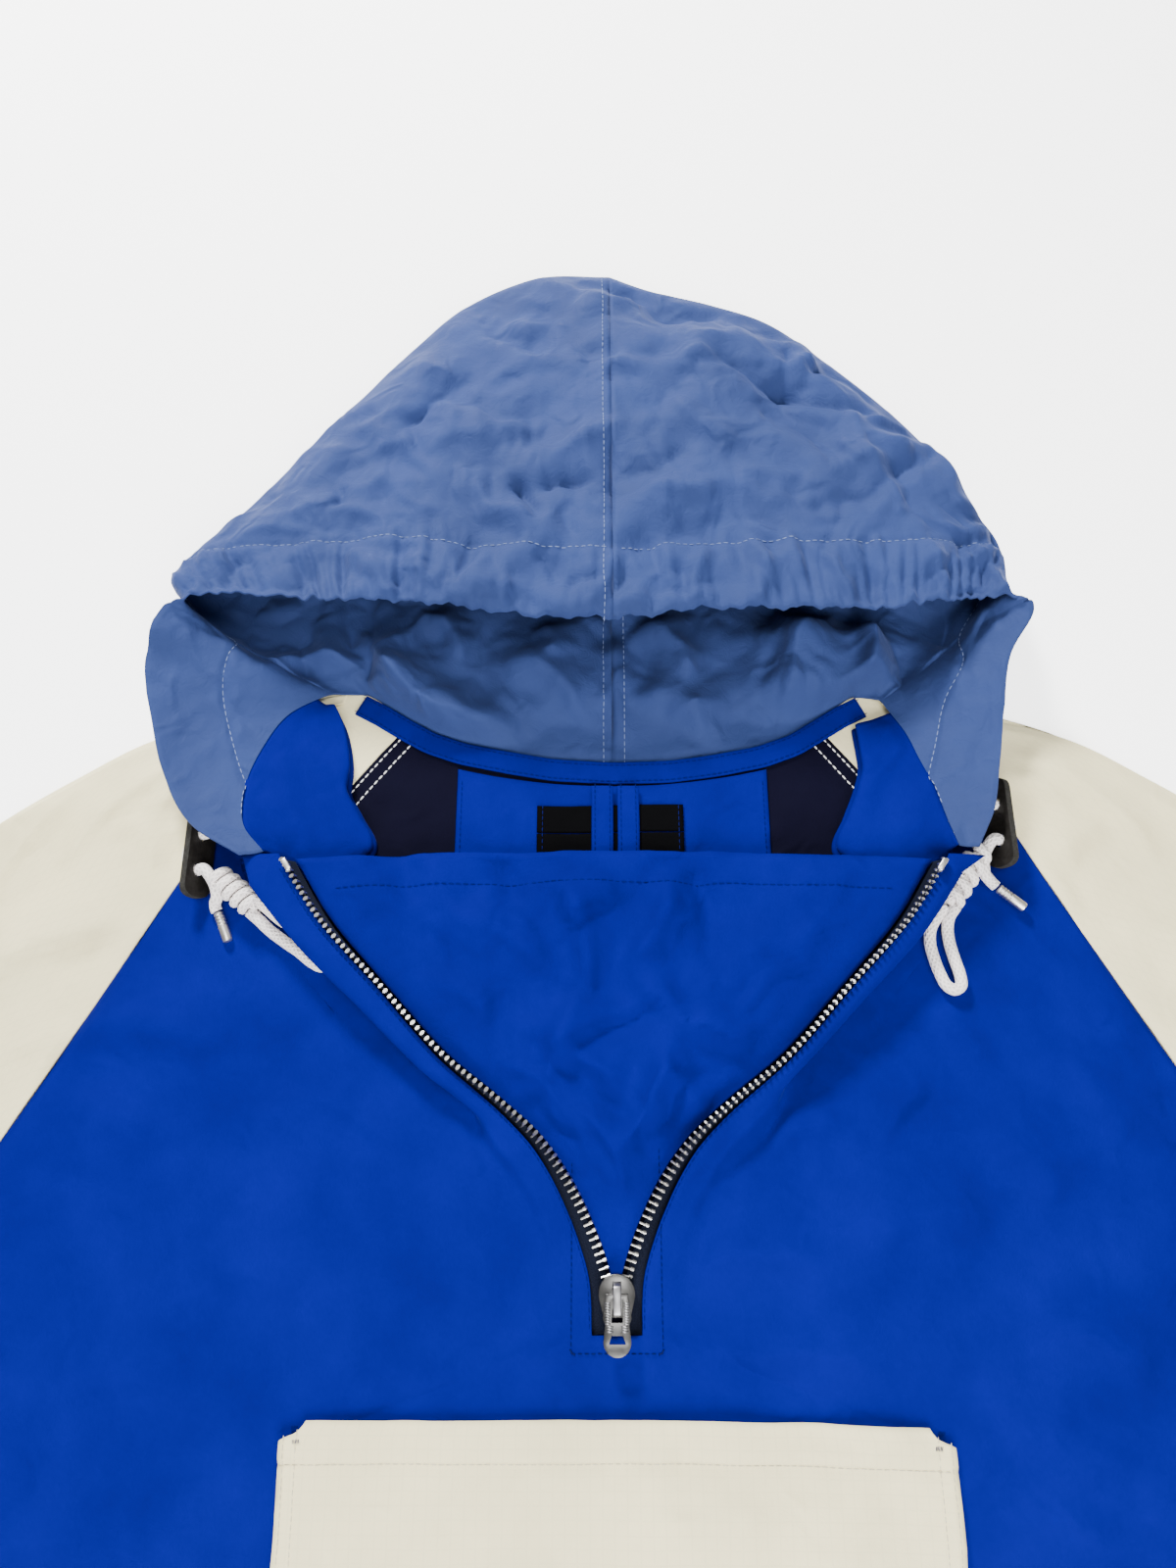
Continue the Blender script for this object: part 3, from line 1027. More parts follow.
def hood_row(side, sign, i, columns):
    """One line of the hood from the neck seam to its free edge."""
    fold, edge = HOOD[side][i]
    start, finish_at = np.array(NECK[side][i], float), np.array(edge, float)
    if fold is None:
        t = (np.arange(columns) / (columns - 1))[:, None]
        line = mix(start, finish_at, t)
        line[:, 2] -= 1.6 * np.sin(np.pi * t[:, 0])
    else:
        out = np.array(fold, float)
        away = (out - start) * (1, 1, 0)
        away /= np.linalg.norm(away)
        lift = out[2] - FLOOR_MID
        curl = min(14, lift)
        foot = out - away * (curl + lift * 0.6)
        foot[2] = FLOOR_MID
        heel = out - away * curl * 0.32
        heel[2] = FLOOR_MID + lift * 0.42
        line = []
        for t in (0, 0.16, 0.34, 0.52, 0.7, 0.86, 1):
            p = mix(start, foot, t)
            p[2] = mix(start[2], FLOOR_MID, smooth(t * 3))
            line.append(p)
        line += [heel, out]
        inward = (finish_at - out) * (1, 1, 0)
        length = np.linalg.norm(inward)
        inward /= length
        for t in (0.03, 0.1, 0.22, 0.36, 0.5, 0.64, 0.78, 0.9, 1):
            p = out + inward * length * t
            swell = min(9, length * 0.06) * math.sin(math.pi * math.sqrt(t))
            roll = 4 * math.sqrt(t / 0.2) * (1 - t) if t < 0.2 else 4 * (1 - t)
            p[2] = mix(out[2], finish_at[2], t**0.85) + swell + roll
            if t < 1:
                p[2] += float(folds(HOOD_FOLDS, p[0] * sign, p[1])) * smooth(t * 4) * smooth((1 - t) * 6)
            line.append(p)
        line = np.array(line)
    return line * (sign, 1, 1)


HEM_DEPTH = 38.0  # width of the hood's turned hem
HOOD_TOP = 56  # the height that no crease of the hood goes above


def hood_half(side, sign):
    """The hood half's grid, the line of its hem stitches, the distances from its edge and its columns."""
    coarse = np.array([hood_row(side, sign, i, 18) for i in range(len(HOOD[side]))])
    step = bpy.context.scene.cloth.step / MM
    tall, row_at = finer(coarse, step * 0.8, 0)
    grid, column_at = finer(tall, step * 0.8, 1)
    x, y = grid[..., 0], grid[..., 1]
    gaps, nought = np.linalg.norm(np.diff(grid, axis=1), axis=2), np.zeros((len(grid), 1))
    from_edge = np.concatenate([gaps[:, ::-1].cumsum(axis=1)[:, ::-1], nought], axis=1)
    from_neck = np.concatenate([nought, gaps.cumsum(axis=1)], axis=1)
    folded = smooth((9.2 - row_at) / 1.2)[:, None]
    front = folded * smooth((column_at - 8.4) / 1.6)[None, :]
    inside = (1 - folded) + folded * smooth((7.2 - column_at) / 1.2)[None, :]
    edge = smooth(from_edge / 5) * 0.65 + 0.35
    outside = 2.5 * creases(HOOD_OUTSIDE, x, y) * smooth((from_edge - 24) / 18)
    hem = 2.0 * creases(HOOD_HEM, x, y) * smooth((52 - from_edge) / 14)
    calm = 1 - 0.5 * smooth((-30 - x) / 60) * smooth((y - 360) / 50)
    worn = calm * crumple(x, y, 5, ((62, 6.2), (46, 5.4), (27, 3.0), (14, 1.3)))
    gathers = 0.3 - np.abs(noise(row_at[:, None] * 3.3 + from_edge / 55, from_edge / 70, 31))
    gathers = 4.4 * gathers * smooth((48 - from_edge) / 16)
    grid[..., 2] += front * edge * (outside + hem + worn + gathers)
    deep = 2.3 * creases(HOOD_INSIDE, x, y) + crumple(x, y, 9, ((72, 6.0), (44, 4.4), (25, 2.4), (13, 1.2)))
    held = smooth(from_neck / 14)
    grid[..., 2] += inside * held * np.maximum(deep + 1.8, -0.2) * np.where(row_at > 8.6, 0.45, 1.0)[:, None]
    # Grooves along the hem stitches and beside the middle seam
    groove = np.exp(-((from_edge - HEM_DEPTH) / 1.5) ** 2)
    ridge = smooth((HEM_DEPTH - from_edge) / 2.5) * smooth(from_edge / 3)
    grid[..., 2] += (front + (1 - folded)) * (0.7 * ridge - 0.9 * groove)
    middle = np.exp(-(np.abs(x) / 1.3) ** 2) * front
    felled = np.exp(-((x + 4.5) / 2.6) ** 2) * front
    grid[..., 2] += -0.5 * middle + 0.35 * felled
    grid[..., 2] = np.clip(grid[..., 2], FLOOR_MID, HOOD_TOP)
    # The free edge isn't straight
    pucker = 2.6 * noise(row_at * 2.1, row_at * 0, 77) + 2.0 * noise(row_at * 5.3, row_at * 0, 78)
    near = smooth((26 - from_edge) / 26) * folded
    grid[..., 1] += near * pucker[:, None]
    hem_line = np.array([grid_point(line, away, HEM_DEPTH) for line, away in zip(grid, from_edge)])
    return grid, hem_line, from_edge, column_at


def grid_point(line, distance, wanted):
    """The place on a grid line at a distance from its free edge."""
    order = np.argsort(distance)
    return [np.interp(wanted, distance[order], line[order, k]) for k in range(3)]


def sleeve_grid(side, sign):
    """A flattened tube from the sleeve seams to the cuff, its two long edges rounded."""
    top = spline([(x, y, 0) for x, y in SLEEVE_TOP])
    under = spline([(x, y, 0) for x, y in SLEEVE_UNDER])
    tip = top(0)[0]
    cuff_top, cuff_bottom = (np.array((*end, 0.0)) for end in (CUFF_TOP, CUFF_BOTTOM))

    def front_seam(b):
        corner = 0.08
        p = seam(FRONT_RAGLAN, 1, np.maximum(0, (b - corner) / (1 - corner)))
        start = seam(FRONT_RAGLAN, 1, np.zeros(1))[0]
        return np.where((b < corner)[:, None], mix(tip, start, np.minimum(1, b / corner)[:, None]), p)

    def back_seam(b):
        # Two edges near the neck, the first out under the hood
        corner, edge = 0.14, np.array((131, 246, 0))
        p = seam(BACK_RAGLAN, 1, np.maximum(0, (b - corner) / (1 - corner)))
        top_corner = seam(BACK_RAGLAN, 1, np.zeros(1))[0]
        first = mix(tip, edge, np.clip(b / (corner / 2), 0, 1)[:, None])
        second = mix(edge, top_corner, np.clip((b - corner / 2) / (corner / 2), 0, 1)[:, None])
        p = np.where((b < corner)[:, None], second, p)
        return np.where((b < corner / 2)[:, None], first, p)

    def patch(edge, a, b):
        """A surface between the seam, the cuff, the top edge and the lower edge."""
        cuff = cuff_top * (1 - b)[:, None] + cuff_bottom * b[:, None]
        a3, b3 = a[:, None, None], b[None, :, None]
        ends = edge(np.array((0.0, 1.0)))
        total = edge(b)[None] * (1 - a3) + cuff[None] * a3 + top(a)[:, None] * (1 - b3) + under(a)[:, None] * b3
        total = total - ends[0] * (1 - a3) * (1 - b3) - ends[1] * (1 - a3) * b3
        return total - cuff_top * a3 * (1 - b3) - cuff_bottom * a3 * b3

    middle = FLOOR_MID + LAYER / 2
    a = np.linspace(0, 1, 120) ** 1.15
    b = 0.5 - 0.5 * np.cos(np.linspace(0, math.pi, 90))
    b = mix(b, np.linspace(0, 1, 90), 0.6)
    close = np.clip(np.minimum(b, 1 - b) / 0.03, 0, 1)
    rounded = np.sqrt(close * (2 - close))[None, :]
    front = patch(front_seam, a, b)
    x, y = front[..., 0], front[..., 1]
    loft = smooth(np.minimum(b, 1 - b) / 0.2)[None, :] * smooth(a / 0.12)[:, None]
    z = FRONT_MID - 0.3 + loft * (0.3 + folds(SLEEVE_FOLDS, x, y))
    soft = smooth(np.minimum(b, 1 - b) / 0.06)[None, :] * smooth((a + 0.01) / 0.03)[:, None]
    aside = 700 if side == "left" else 0  # so that the two sleeves aren't creased alike
    worn = 3.2 * creases(SLEEVE_CREASES, x, y)
    worn = worn + crumple(x + aside, y, 71, ((110, 5.4), (64, 3.4), (32, 1.3), (15, 0.4)))
    gathers = creases(tuple((r[1] + 1, r[2] - 6 * k, r[1] + 24, r[2] - 4 - 7 * k, 2, 4, 0.7)
                            for k, r in enumerate(FRONT_RAGLAN[1:-1])), x, y)
    z = np.maximum(z + soft * (worn + gathers), FRONT_LOW)
    front[..., 2] = middle + (z - middle) * rounded
    back = patch(back_seam, a, b[::-1])
    back[..., 2] = middle + (FLOOR_MID - middle) * rounded
    ring = np.concatenate([front, back[:, 1:]], axis=1)
    return ring * (sign, 1, 1)


def gusset_grid():
    """The slack triangle between the two halves of the zip."""
    rows = np.concatenate([np.linspace(0.9, 6, 52), np.linspace(6.1, 8, 20)])

    def edge_at(sign):
        point, out = zip_line(sign, rows)
        lean_out, lean_down = tape_way(rows)
        reach = TAPE_WIDTH * 0.8
        z = np.maximum(FRONT_MID + 0.2, point[:, 2] - reach * lean_down - 1.5 * np.abs(lean_out) - 0.2)
        return beside_zip(point, out, np.minimum(0, lean_out) * reach - 1.9, z)

    a, b = edge_at(-1), edge_at(1)
    s = np.linspace(0, 1, 96)
    grid = mix(a[:, None], b[:, None], s[None, :, None])
    level = smooth((rows - 0.9) / 7)[:, None]
    middle = (4 * s * (1 - s))[None, :]
    rest = mix(FRONT_MID + 0.1, 10.8, level)
    grid[..., 2] = mix(grid[..., 2], rest, smooth(middle * 1.15))
    x, y = grid[..., 0], grid[..., 1]
    soft = smooth(middle * 1.6) * smooth(rows - 1.5)[:, None]
    grid[..., 2] += soft * (0.6 * folds(GUSSET_FOLDS, x, y) + 2.8 * creases(GUSSET_CREASES, x, y)
                            + crumple(x, y, 83, ((50, 3.6), (30, 2.8), (15, 1.2))))
    grid[..., 2] = np.maximum(grid[..., 2], 2.2)
    grid[..., 1] += middle * 6 * smooth((rows - 6) / 2)[:, None]
    top = np.exp(-((rows - 7.62) / 0.05) ** 2)[:, None]
    grid[..., 2] -= 0.6 * top * smooth(middle * 2)
    return grid


def pocket_height(x, y):
    return np.maximum(front_height(x, y) + front_creases(x, y), FRONT_LOW) + 2.05


def neck_curve(share, inset):
    """Places along the back neck seam, moved into the garment."""
    points = []
    for s in share:
        side, sign = SIDES[0] if s < 0 else SIDES[1]
        i = min(6, int(abs(s) * 7))
        a, b, t = NECK[side][i], NECK[side][i + 1], abs(s) * 7 - i
        way = np.array(((a[1] - b[1]) * -sign, a[0] - b[0]))
        way = way / np.linalg.norm(way) * inset
        points.append((mix(a[0], b[0], t) * sign + way[0], mix(a[1], b[1], t) + way[1]))
    p = np.array(points)
    soft = p.copy()
    soft[1:-1] = (p[:-2] + 2 * p[1:-1] + p[2:]) / 4
    return soft


UP = (0, 0, 1)


def row_on(name, points, lift):
    """Points just over a piece's upper face, for a row of stitches, and the way up."""
    p = np.array(points, float)
    p[:, 2] = over(name, p, lift)
    return place(p), UP


def row_on_back(points, lift):
    """Points over the back's inside, for a row of stitches, and the way up."""
    x, y = points[:, 0], points[:, 1]
    return place(np.column_stack([x, y, back_height(x, y) + lift])), UP


def straight(a, b, count):
    return [(mix(a[0], b[0], t), mix(a[1], b[1], t), 0) for t in np.linspace(0, 1, count)]


# Operators: one for each piece or group of like pieces
class ANORAK_OT_camera(bpy.types.Operator):
    """Put the camera over the garment"""
    bl_idname = "anorak.camera"
    bl_label = "Camera"

    def execute(self, context):
        view = context.scene.camera_settings
        data = bpy.data.cameras.new("camera")
        data.lens = view.lens
        data.sensor_width = 36
        data.clip_start = 0.01
        camera = bpy.data.objects.new("camera", data)
        context.scene.collection.objects.link(camera)
        camera.location = (-0.012, SHIFT_Y * MM, view.height)
        camera.rotation_euler = (view.tilt, 0, 0)
        context.scene.camera = camera
        return {"FINISHED"}


class ANORAK_OT_cords(bpy.types.Operator):
    """Make the drawcord's ends with their knots, metal ends and leather toggles"""
    bl_idname = "anorak.cords"
    bl_label = "Drawcord ends"

    def execute(self, context):
        for side, feed, loop in (("left", FEED_LEFT, LOOP_LEFT), ("right", FEED_RIGHT, LOOP_RIGHT)):
            knot = self.knot("knot_" + side)
            aglet = self.aglet("aglet_" + side)
            toggle = self.toggle("toggle_" + side)
            self.cord(f"cord_{side}_end", feed, (f"cord_{side}_feed", f"cord_{side}_tail"), "fitting",
                      (knot, aglet, toggle))
            self.cord(f"cord_{side}_bight", loop, (f"cord_{side}_loop",), "object", ())
        return {"FINISHED"}

    def cord(self, name, route, nodes, far_end, on_it):
        points = place(spline(route)(np.linspace(0, 1, len(route) * 5)))
        piece = trim_piece(name, tube_mesh(name, points, CORD_DIAMETER / 2 * MM), finish("cord"), nodes)

    def knot(self, name):
        """Turns of the cord round its own strands."""
        a, b = (np.array(p, float) for p in KNOTS[name])
        axis = b - a
        length = np.linalg.norm(axis)
        axis /= length
        side = np.cross(axis, (0, 0, 1))
        side /= np.linalg.norm(side)
        up = np.cross(side, axis)
        turns, thick = 5, 2.15
        t = np.linspace(0, 1, turns * 22)
        swell = 4.25 + 0.35 * np.sin(np.pi * t)
        swell = swell * smooth(t / 0.05 + 0.35) * smooth((1 - t) / 0.05 + 0.35)
        angle = t * turns * 2 * np.pi
        line = (a + axis * (0.7 * thick + (length - 1.4 * thick) * t[:, None])
                + side * (np.cos(angle) * swell)[:, None] + up * (np.sin(angle) * swell)[:, None])
        coil = tube_mesh(name, place(line), thick * MM, 10)
        core = tube_mesh(name + "_core", place([mix(a, b, s) for s in np.linspace(0.05, 0.95, 6)]), 2.6 * MM, 10)
        bm = bmesh.new()
        bm.from_mesh(coil)
        bm.from_mesh(core)
        bm.to_mesh(coil)
        bm.free()
        bpy.data.meshes.remove(core)
        return trim_piece("wound_" + name, coil, finish("cord"), (name,))

    def aglet(self, name):
        """A crimped metal tube with four rings pressed into it."""
        a, b = (np.array(p, float) for p in AGLETS[name])
        profile = [(1.7, 0), (2.2, 0.01), (2.4, 0.03)]
        for k in range(4):
            at = 0.08 + k * 0.11
            profile += [(2.4, at), (2.1, at + 0.02), (2.1, at + 0.045), (2.4, at + 0.065)]
        profile += [(2.4, 0.93), (2.2, 0.98), (1.8, 1.0)]
        return trim_piece("ribbed_" + name, self.lathe(name, a, b, profile, 16), finish("teeth"), (name,))

    def lathe(self, name, a, b, profile, sides):
        axis = (b - a) / np.linalg.norm(b - a)
        side = np.cross(axis, (0, 0, 1))
        side /= np.linalg.norm(side)
        up = np.cross(side, axis)
        verts = []
        for radius, t in profile:
            for k in range(sides):
                angle = 2 * math.pi * k / sides
                verts.append(place(mix(a, b, t) + radius * (math.cos(angle) * side + math.sin(angle) * up)).tolist())
        faces = [(i * sides + j, i * sides + (j + 1) % sides, (i + 1) * sides + (j + 1) % sides, (i + 1) * sides + j)
                 for i in range(len(profile) - 1) for j in range(sides)]
        faces += [tuple(range(sides)), tuple(range((len(profile) - 1) * sides, len(profile) * sides))]
        mesh = bpy.data.meshes.new(name)
        mesh.from_pydata(verts, [], faces)
        bm = bmesh.new()
        bm.from_mesh(mesh)
        bmesh.ops.recalc_face_normals(bm, faces=bm.faces)
        bm.to_mesh(mesh)
        bm.free()
        smooth_by_angle(mesh, 30)
        return mesh

    def toggle(self, name):
        """A thick leather slip with two holes, its cut edge rougher than its faces."""
        mesh = copied(name, 0.00045)
        mesh.materials.append(finish("leather"))
        mesh.materials.append(finish("cut edge"))
        lean = -0.56 if name.endswith("left") else 0.56
        broad = np.cross((0, 1, 0), (math.sin(lean), 0, math.cos(lean)))
        mesh.update()
        for face in mesh.polygons:
            face.material_index = 0 if abs(np.dot(face.normal, broad)) > 0.8 else 1
        smooth_by_angle(mesh, 35)
        return trim_piece("leather_" + name, mesh, None, (name,))


class ANORAK_OT_back(bpy.types.Operator):
    """Make the back, which lies on the surface"""
    bl_idname = "anorak.back"
    bl_label = "Back"

    def execute(self, context):
        grids = []
        neck_share = np.linspace(0, 1, 40)
        for side, sign in SIDES:
            rows = []
            for t in (1, 0.66, 0.33):
                half, y = mix(ARMPIT[0], HEM_HALF, t), mix(ARMPIT[1] - 6, HEM_Y, t)
                rows.append([(half * s * sign, y, FLOOR_MID) for s in neck_share])
            for b in (1, 0.9, 0.8, 0.7, 0.6, 0.5, 0.4, 0.3, 0.2, 0.1, 0.05):
                end = seam(BACK_RAGLAN, 1, np.array((b,)))[0]
                dip = 22.5 * (1 - smooth(b / 0.5))
                rows.append([(end[0] * s * sign, mix(end[1] - dip, end[1], s * s), FLOOR_MID) for s in neck_share])
            neck = np.array(NECK[side][:6])
            x = neck_share * (seam(BACK_RAGLAN, 1, np.zeros(1))[0][0] - 0.2)
            top = hermite(neck[:, 0], neck[:, 1:2])(x)[:, 0] - 0.2
            rows.append([(a * sign, b, FLOOR_MID) for a, b in zip(x, top)])
            grid, _ = finer(np.array(rows), 5.0, 0)
            grid, _ = finer(grid, 5.0, 1)
            grid[..., 2] = back_height(grid[..., 0], grid[..., 1])
            grids.append(grid)
        cloth_piece("back_cloth", grids, finish("navy"), ("back_panel",),
                    wall=0.0012)
        lines = []
        for side, sign in SIDES:
            line = seam(BACK_RAGLAN, sign, np.linspace(0.015, 0.5, 60))
            ahead = np.gradient(line, axis=0)
            inward = unit(np.stack([ahead[:, 1], -ahead[:, 0], ahead[:, 2] * 0], axis=1) * -sign)
            inward = inward * np.sign((inward[:, :1] * -sign))
            lines += [row_on_back(line + inward * gap, 0.75) for gap in (2.2, 8.2)]
        sew("back_seam_stitches", lines, "white thread", 1.5)
        return {"FINISHED"}


class ANORAK_OT_front(bpy.types.Operator):
    """Make the front with the doubled strips beside the zip and the turned-over neck part"""
    bl_idname = "anorak.front"
    bl_label = "Front"

    def execute(self, context):
        grids = []
        for side, sign in SIDES:
            grids += list(front_half(side, sign))
        cloth_piece("front_cloth", grids, finish("cobalt"), ("front_panel",))
        # Stitched box round the zip's bottom, and a row along each strip's edge
        box = [(-19, 20), (-19, -59), (-18, -60), (18, -60), (19, -59), (19, 20)]
        lines = [row_on("front_cloth", straight(a, b, 30), 0.3) for a, b in zip(box[:-1], box[1:])]
        sew("zip_box_stitches", lines, "navy thread", 0.8, 0.8)
        lines = []
        for side, sign in SIDES:
            profile = strip_profile(side, sign, np.linspace(0.2, 7.9, 120))
            p = mix(profile[:, 0], profile[:, 1], 0.35)
            p[:, 2] += 0.62
            lines.append((place(p), UP))
        sew("zip_edge_stitches", lines, "blue thread", 0.8, 0.9)
        return {"FINISHED"}


class ANORAK_OT_sleeves(bpy.types.Operator):
    """Make both sleeves as flattened tubes"""
    bl_idname = "anorak.sleeves"
    bl_label = "Sleeves"

    def execute(self, context):
        for side, sign in SIDES:
            cloth_piece(f"sleeve_cloth_{side}", [sleeve_grid(side, sign)], finish("cream"), ("sleeve_" + side,),
                        wall=0.0010)
        return {"FINISHED"}


class ANORAK_OT_hood(bpy.types.Operator):
    """Make both halves of the hood with the stitched hem and the middle seam"""
    bl_idname = "anorak.hood"
    bl_label = "Hood"

    def execute(self, context):
        rows = []
        for side, sign in SIDES:
            grid, hem, from_edge, column_at = hood_half(side, sign)
            cloth_piece(f"hood_cloth_{side}", [grid], finish("hood"), ("hood_" + side,),
                        wall=0.0009)
            normals = grid_normals(grid)
            up = unit(np.array([grid_point(line, away, HEM_DEPTH) for line, away in zip(normals, from_edge)]))
            keep = slice(2, int(len(hem) * 0.93))
            rows.append((place(hem[keep] + up[keep] * 0.62), up[keep]))
            inside = column_at < 6.5
            if side == "left":
                line, up = self.beside_seam(grid, grid, 4.2), unit(self.beside_seam(grid, normals, 4.2))
                for part in (column_at > 8.6, inside):
                    rows.append((place(line[part] + up[part] * 0.6), up[part]))
            else:
                rows.append((place(self.beside_seam(grid, grid, 6.2)[inside] + (0, 0, 0.6)), UP))
        sew("hood_stitches", rows, "hood thread", 0.85)
        return {"FINISHED"}

    def beside_seam(self, grid, values, away):
        """What a grid's values are at a distance from the middle seam, one for each column."""
        return np.array([grid_point(values[:, j], np.abs(grid[:, j, 0]), away) for j in range(grid.shape[1])])


def grid_normals(grid):
    """Unit normals of a grid, turned upwards on its front layer."""
    du, dv = np.gradient(grid, axis=1), np.gradient(grid, axis=0)
    n = np.cross(du, dv)
    n /= np.maximum(np.linalg.norm(n, axis=2), 1e-9)[..., None]
    return n * np.where(n[..., 2:] < 0, -1, 1)


class ANORAK_OT_gusset(bpy.types.Operator):
    """Make the slack gusset behind the open zip"""
    bl_idname = "anorak.gusset"
    bl_label = "Gusset"

    def execute(self, context):
        grid = gusset_grid()
        cloth_piece("gusset_cloth", [grid], finish("cobalt"), ("zip_gusset",))
        line = grid[-6, 4:-4].copy()
        line[:, 2] += 0.6
        sew("gusset_hem_stitches", [(place(line), UP)], "blue thread", 0.8)
        return {"FINISHED"}


class ANORAK_OT_zip(bpy.types.Operator):
    """Make the zip's tapes, teeth, stops, slider and pull tab"""
    bl_idname = "anorak.zip"
    bl_label = "Zip"

    def execute(self, context):
        trim = context.scene.trim
        rows = np.linspace(0, 8, 150)
        teeth = []
        for side, sign in SIDES:
            point, out = zip_line(sign, rows)
            lean_out, lean_down = tape_way(rows)
            lines = []
            for t in np.linspace(0, 1, 8):
                d = TAPE_WIDTH * t
                z = np.maximum(FLOOR_MID + 3.1, point[:, 2] - d * lean_down - TOOTH_LIFT)
                lines.append(beside_zip(point, out, d * lean_out, z))
            grid = np.stack(lines, axis=1)
            cloth_piece(f"woven_tape_{side}", [grid], finish("tape"), ("zip_tape_" + side,),
                        wall=0.0008)
            across = out * lean_out[:, None]
            across[:, 2] = -lean_down
            lie = np.cross(unit(np.gradient(point, axis=0)), across) * sign
            part = rows > 0.42
            centre = point + across * 0.2
            centre[:, 2] -= TOOTH_LIFT * 0.45
            teeth.append((place(centre[part]), -lie[part]))
        tree = repeat_tree("row of zip teeth", tooth_shape)
        sizes = {"Pitch": trim.tooth_pitch, "Length": trim.tooth_pitch * 0.66, "Width": trim.tooth_width,
                 "Height": 0.0026}
        repeated("zip_teeth", teeth, tree, sizes, finish("teeth"))
        for side, _ in SIDES:
            self.cast("nickel_stop_" + side, "zip_stop_" + side, 0.0005, "teeth")
        slider = self.cast("slider", "zip_slider", 0.0003, "nickel")
        slider.data.materials.append(finish("satin nickel"))
        for face in slider.data.polygons:
            on_bridge = face.center.z > 0.0112 and abs(face.center.x) < 0.0019
            face.material_index = 1 if on_bridge else 0
        self.cast("pull", "zip_pull", 0.00022, "nickel", "pull_tab")
        self.ribs()
        return {"FINISHED"}

    def cast(self, name, node, bevel, metal_name, body=BODY):
        """A metal piece with its edges rounded."""
        mesh = copied(node, bevel)
        smooth_by_angle(mesh, 50)
        return trim_piece(name, mesh, finish(metal_name), (node,), body)

    def ribs(self):
        """Grip ribs across both sides of the pull tab."""
        radius, pitch = 0.00034, 0.00098
        bm = bmesh.new()
        low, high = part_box("zip_pull")
        for k in range(12):
            y = low[1] + 0.0096 + k * pitch
            inner, outer = (0.0016, 0.0046) if k < 3 else (0.0027, 0.0050)
            for sign in (-1, 1):
                made = bmesh.ops.create_cone(bm, cap_ends=True, segments=8, radius1=radius, radius2=radius,
                                             depth=outer - inner)
                for v in made["verts"]:
                    v.co = (v.co.z + sign * (inner + outer) / 2, v.co.y + y, v.co.x + high[2])
        bmesh.ops.recalc_face_normals(bm, faces=bm.faces)
        mesh = bpy.data.meshes.new("pull_ribs")
        bm.to_mesh(mesh)
        bm.free()
        all_smooth(mesh)
        trim_piece("pull_ribs", mesh, finish("satin nickel"), (), "pull_tab")


class ANORAK_OT_pocket(bpy.types.Operator):
    """Make the patch pocket with its hems, stitches and corner tacks"""
    bl_idname = "anorak.pocket"
    bl_label = "Pocket"

    def execute(self, context):
        columns = np.linspace(-1, 1, 76)
        rows = np.concatenate([np.linspace(0, 0.12, 14), np.linspace(0.13, 1, 58)])
        s, t = np.meshgrid(columns, rows)
        corner = POCKET_CORNER * smooth((np.abs(s) - 0.945) / 0.055) * smooth((0.03 - t) / 0.03)
        x = s * (POCKET_HALF - 3 * np.abs(s) * smooth((0.03 - t) / 0.03)) - np.sign(s) * corner * 0.6
        slope = -3.2 * np.maximum(0, s) ** 2
        y = mix(POCKET_TOP + slope, POCKET_BOTTOM, t) - corner * 0.5
        down = (POCKET_TOP + slope) - y
        z = pocket_height(x, y)
        z = z + 0.8 * smooth((15.5 - down) / 2) - 0.8 * np.exp(-((down - 15.5) / 1.5) ** 2)
        z = z + 0.35 * smooth((np.abs(x) - 129) / 2) + 0.5 * creases(POCKET_CREASES, x, y)
        z = z + np.maximum(-1.2, crumple(x, y, 91, ((64, 2.4), (36, 1.3), (18, 0.5))))
        cloth_piece("pocket_cloth", [np.stack([x, y, z], axis=-1)], finish("cream"), ("pocket",),
                    wall=0.0010)
        half, hem, bottom = POCKET_HALF - 7, -99.5, POCKET_BOTTOM + 4
        top_row = np.array(straight((-half - 3, hem), (half + 3, hem), 70))
        top_row[:, 1] -= 3.2 * np.maximum(0, top_row[:, 0] / POCKET_HALF) ** 2
        ends = (((-half, -88), (-half - 1, bottom)), ((half, -91), (half, bottom)),
                ((-half - 5, -90), (-half - 5, bottom)), ((half + 5, -93), (half + 5, bottom)),
                ((-half, bottom), (half, bottom)))
        rows = [top_row] + [straight(a, b, 70) for a, b in ends]
        lines = [row_on("pocket_cloth", row, 0.2) for row in rows]
        sew("pocket_stitches", lines, "hem thread", 0.75, 0.9)
        tacks = []
        for sign, top in ((-1, -87.5), (1, -90.5)):
            for k in range(5):
                x0 = sign * (POCKET_HALF - 8 + k * 0.6)
                ends = [(x0, top - 3.5, 0), (x0 + sign * 2, top + 1.5, 0)]
                tacks.append(row_on("pocket_cloth", ends, 0.2))
        sizes = {"Pitch": 0.0019, "Length": 0.0024, "Width": 0.0004, "Height": 0.0004}
        repeated("pocket_tacks", tacks, stitch_rows(), sizes, finish("blue thread"))
        return {"FINISHED"}


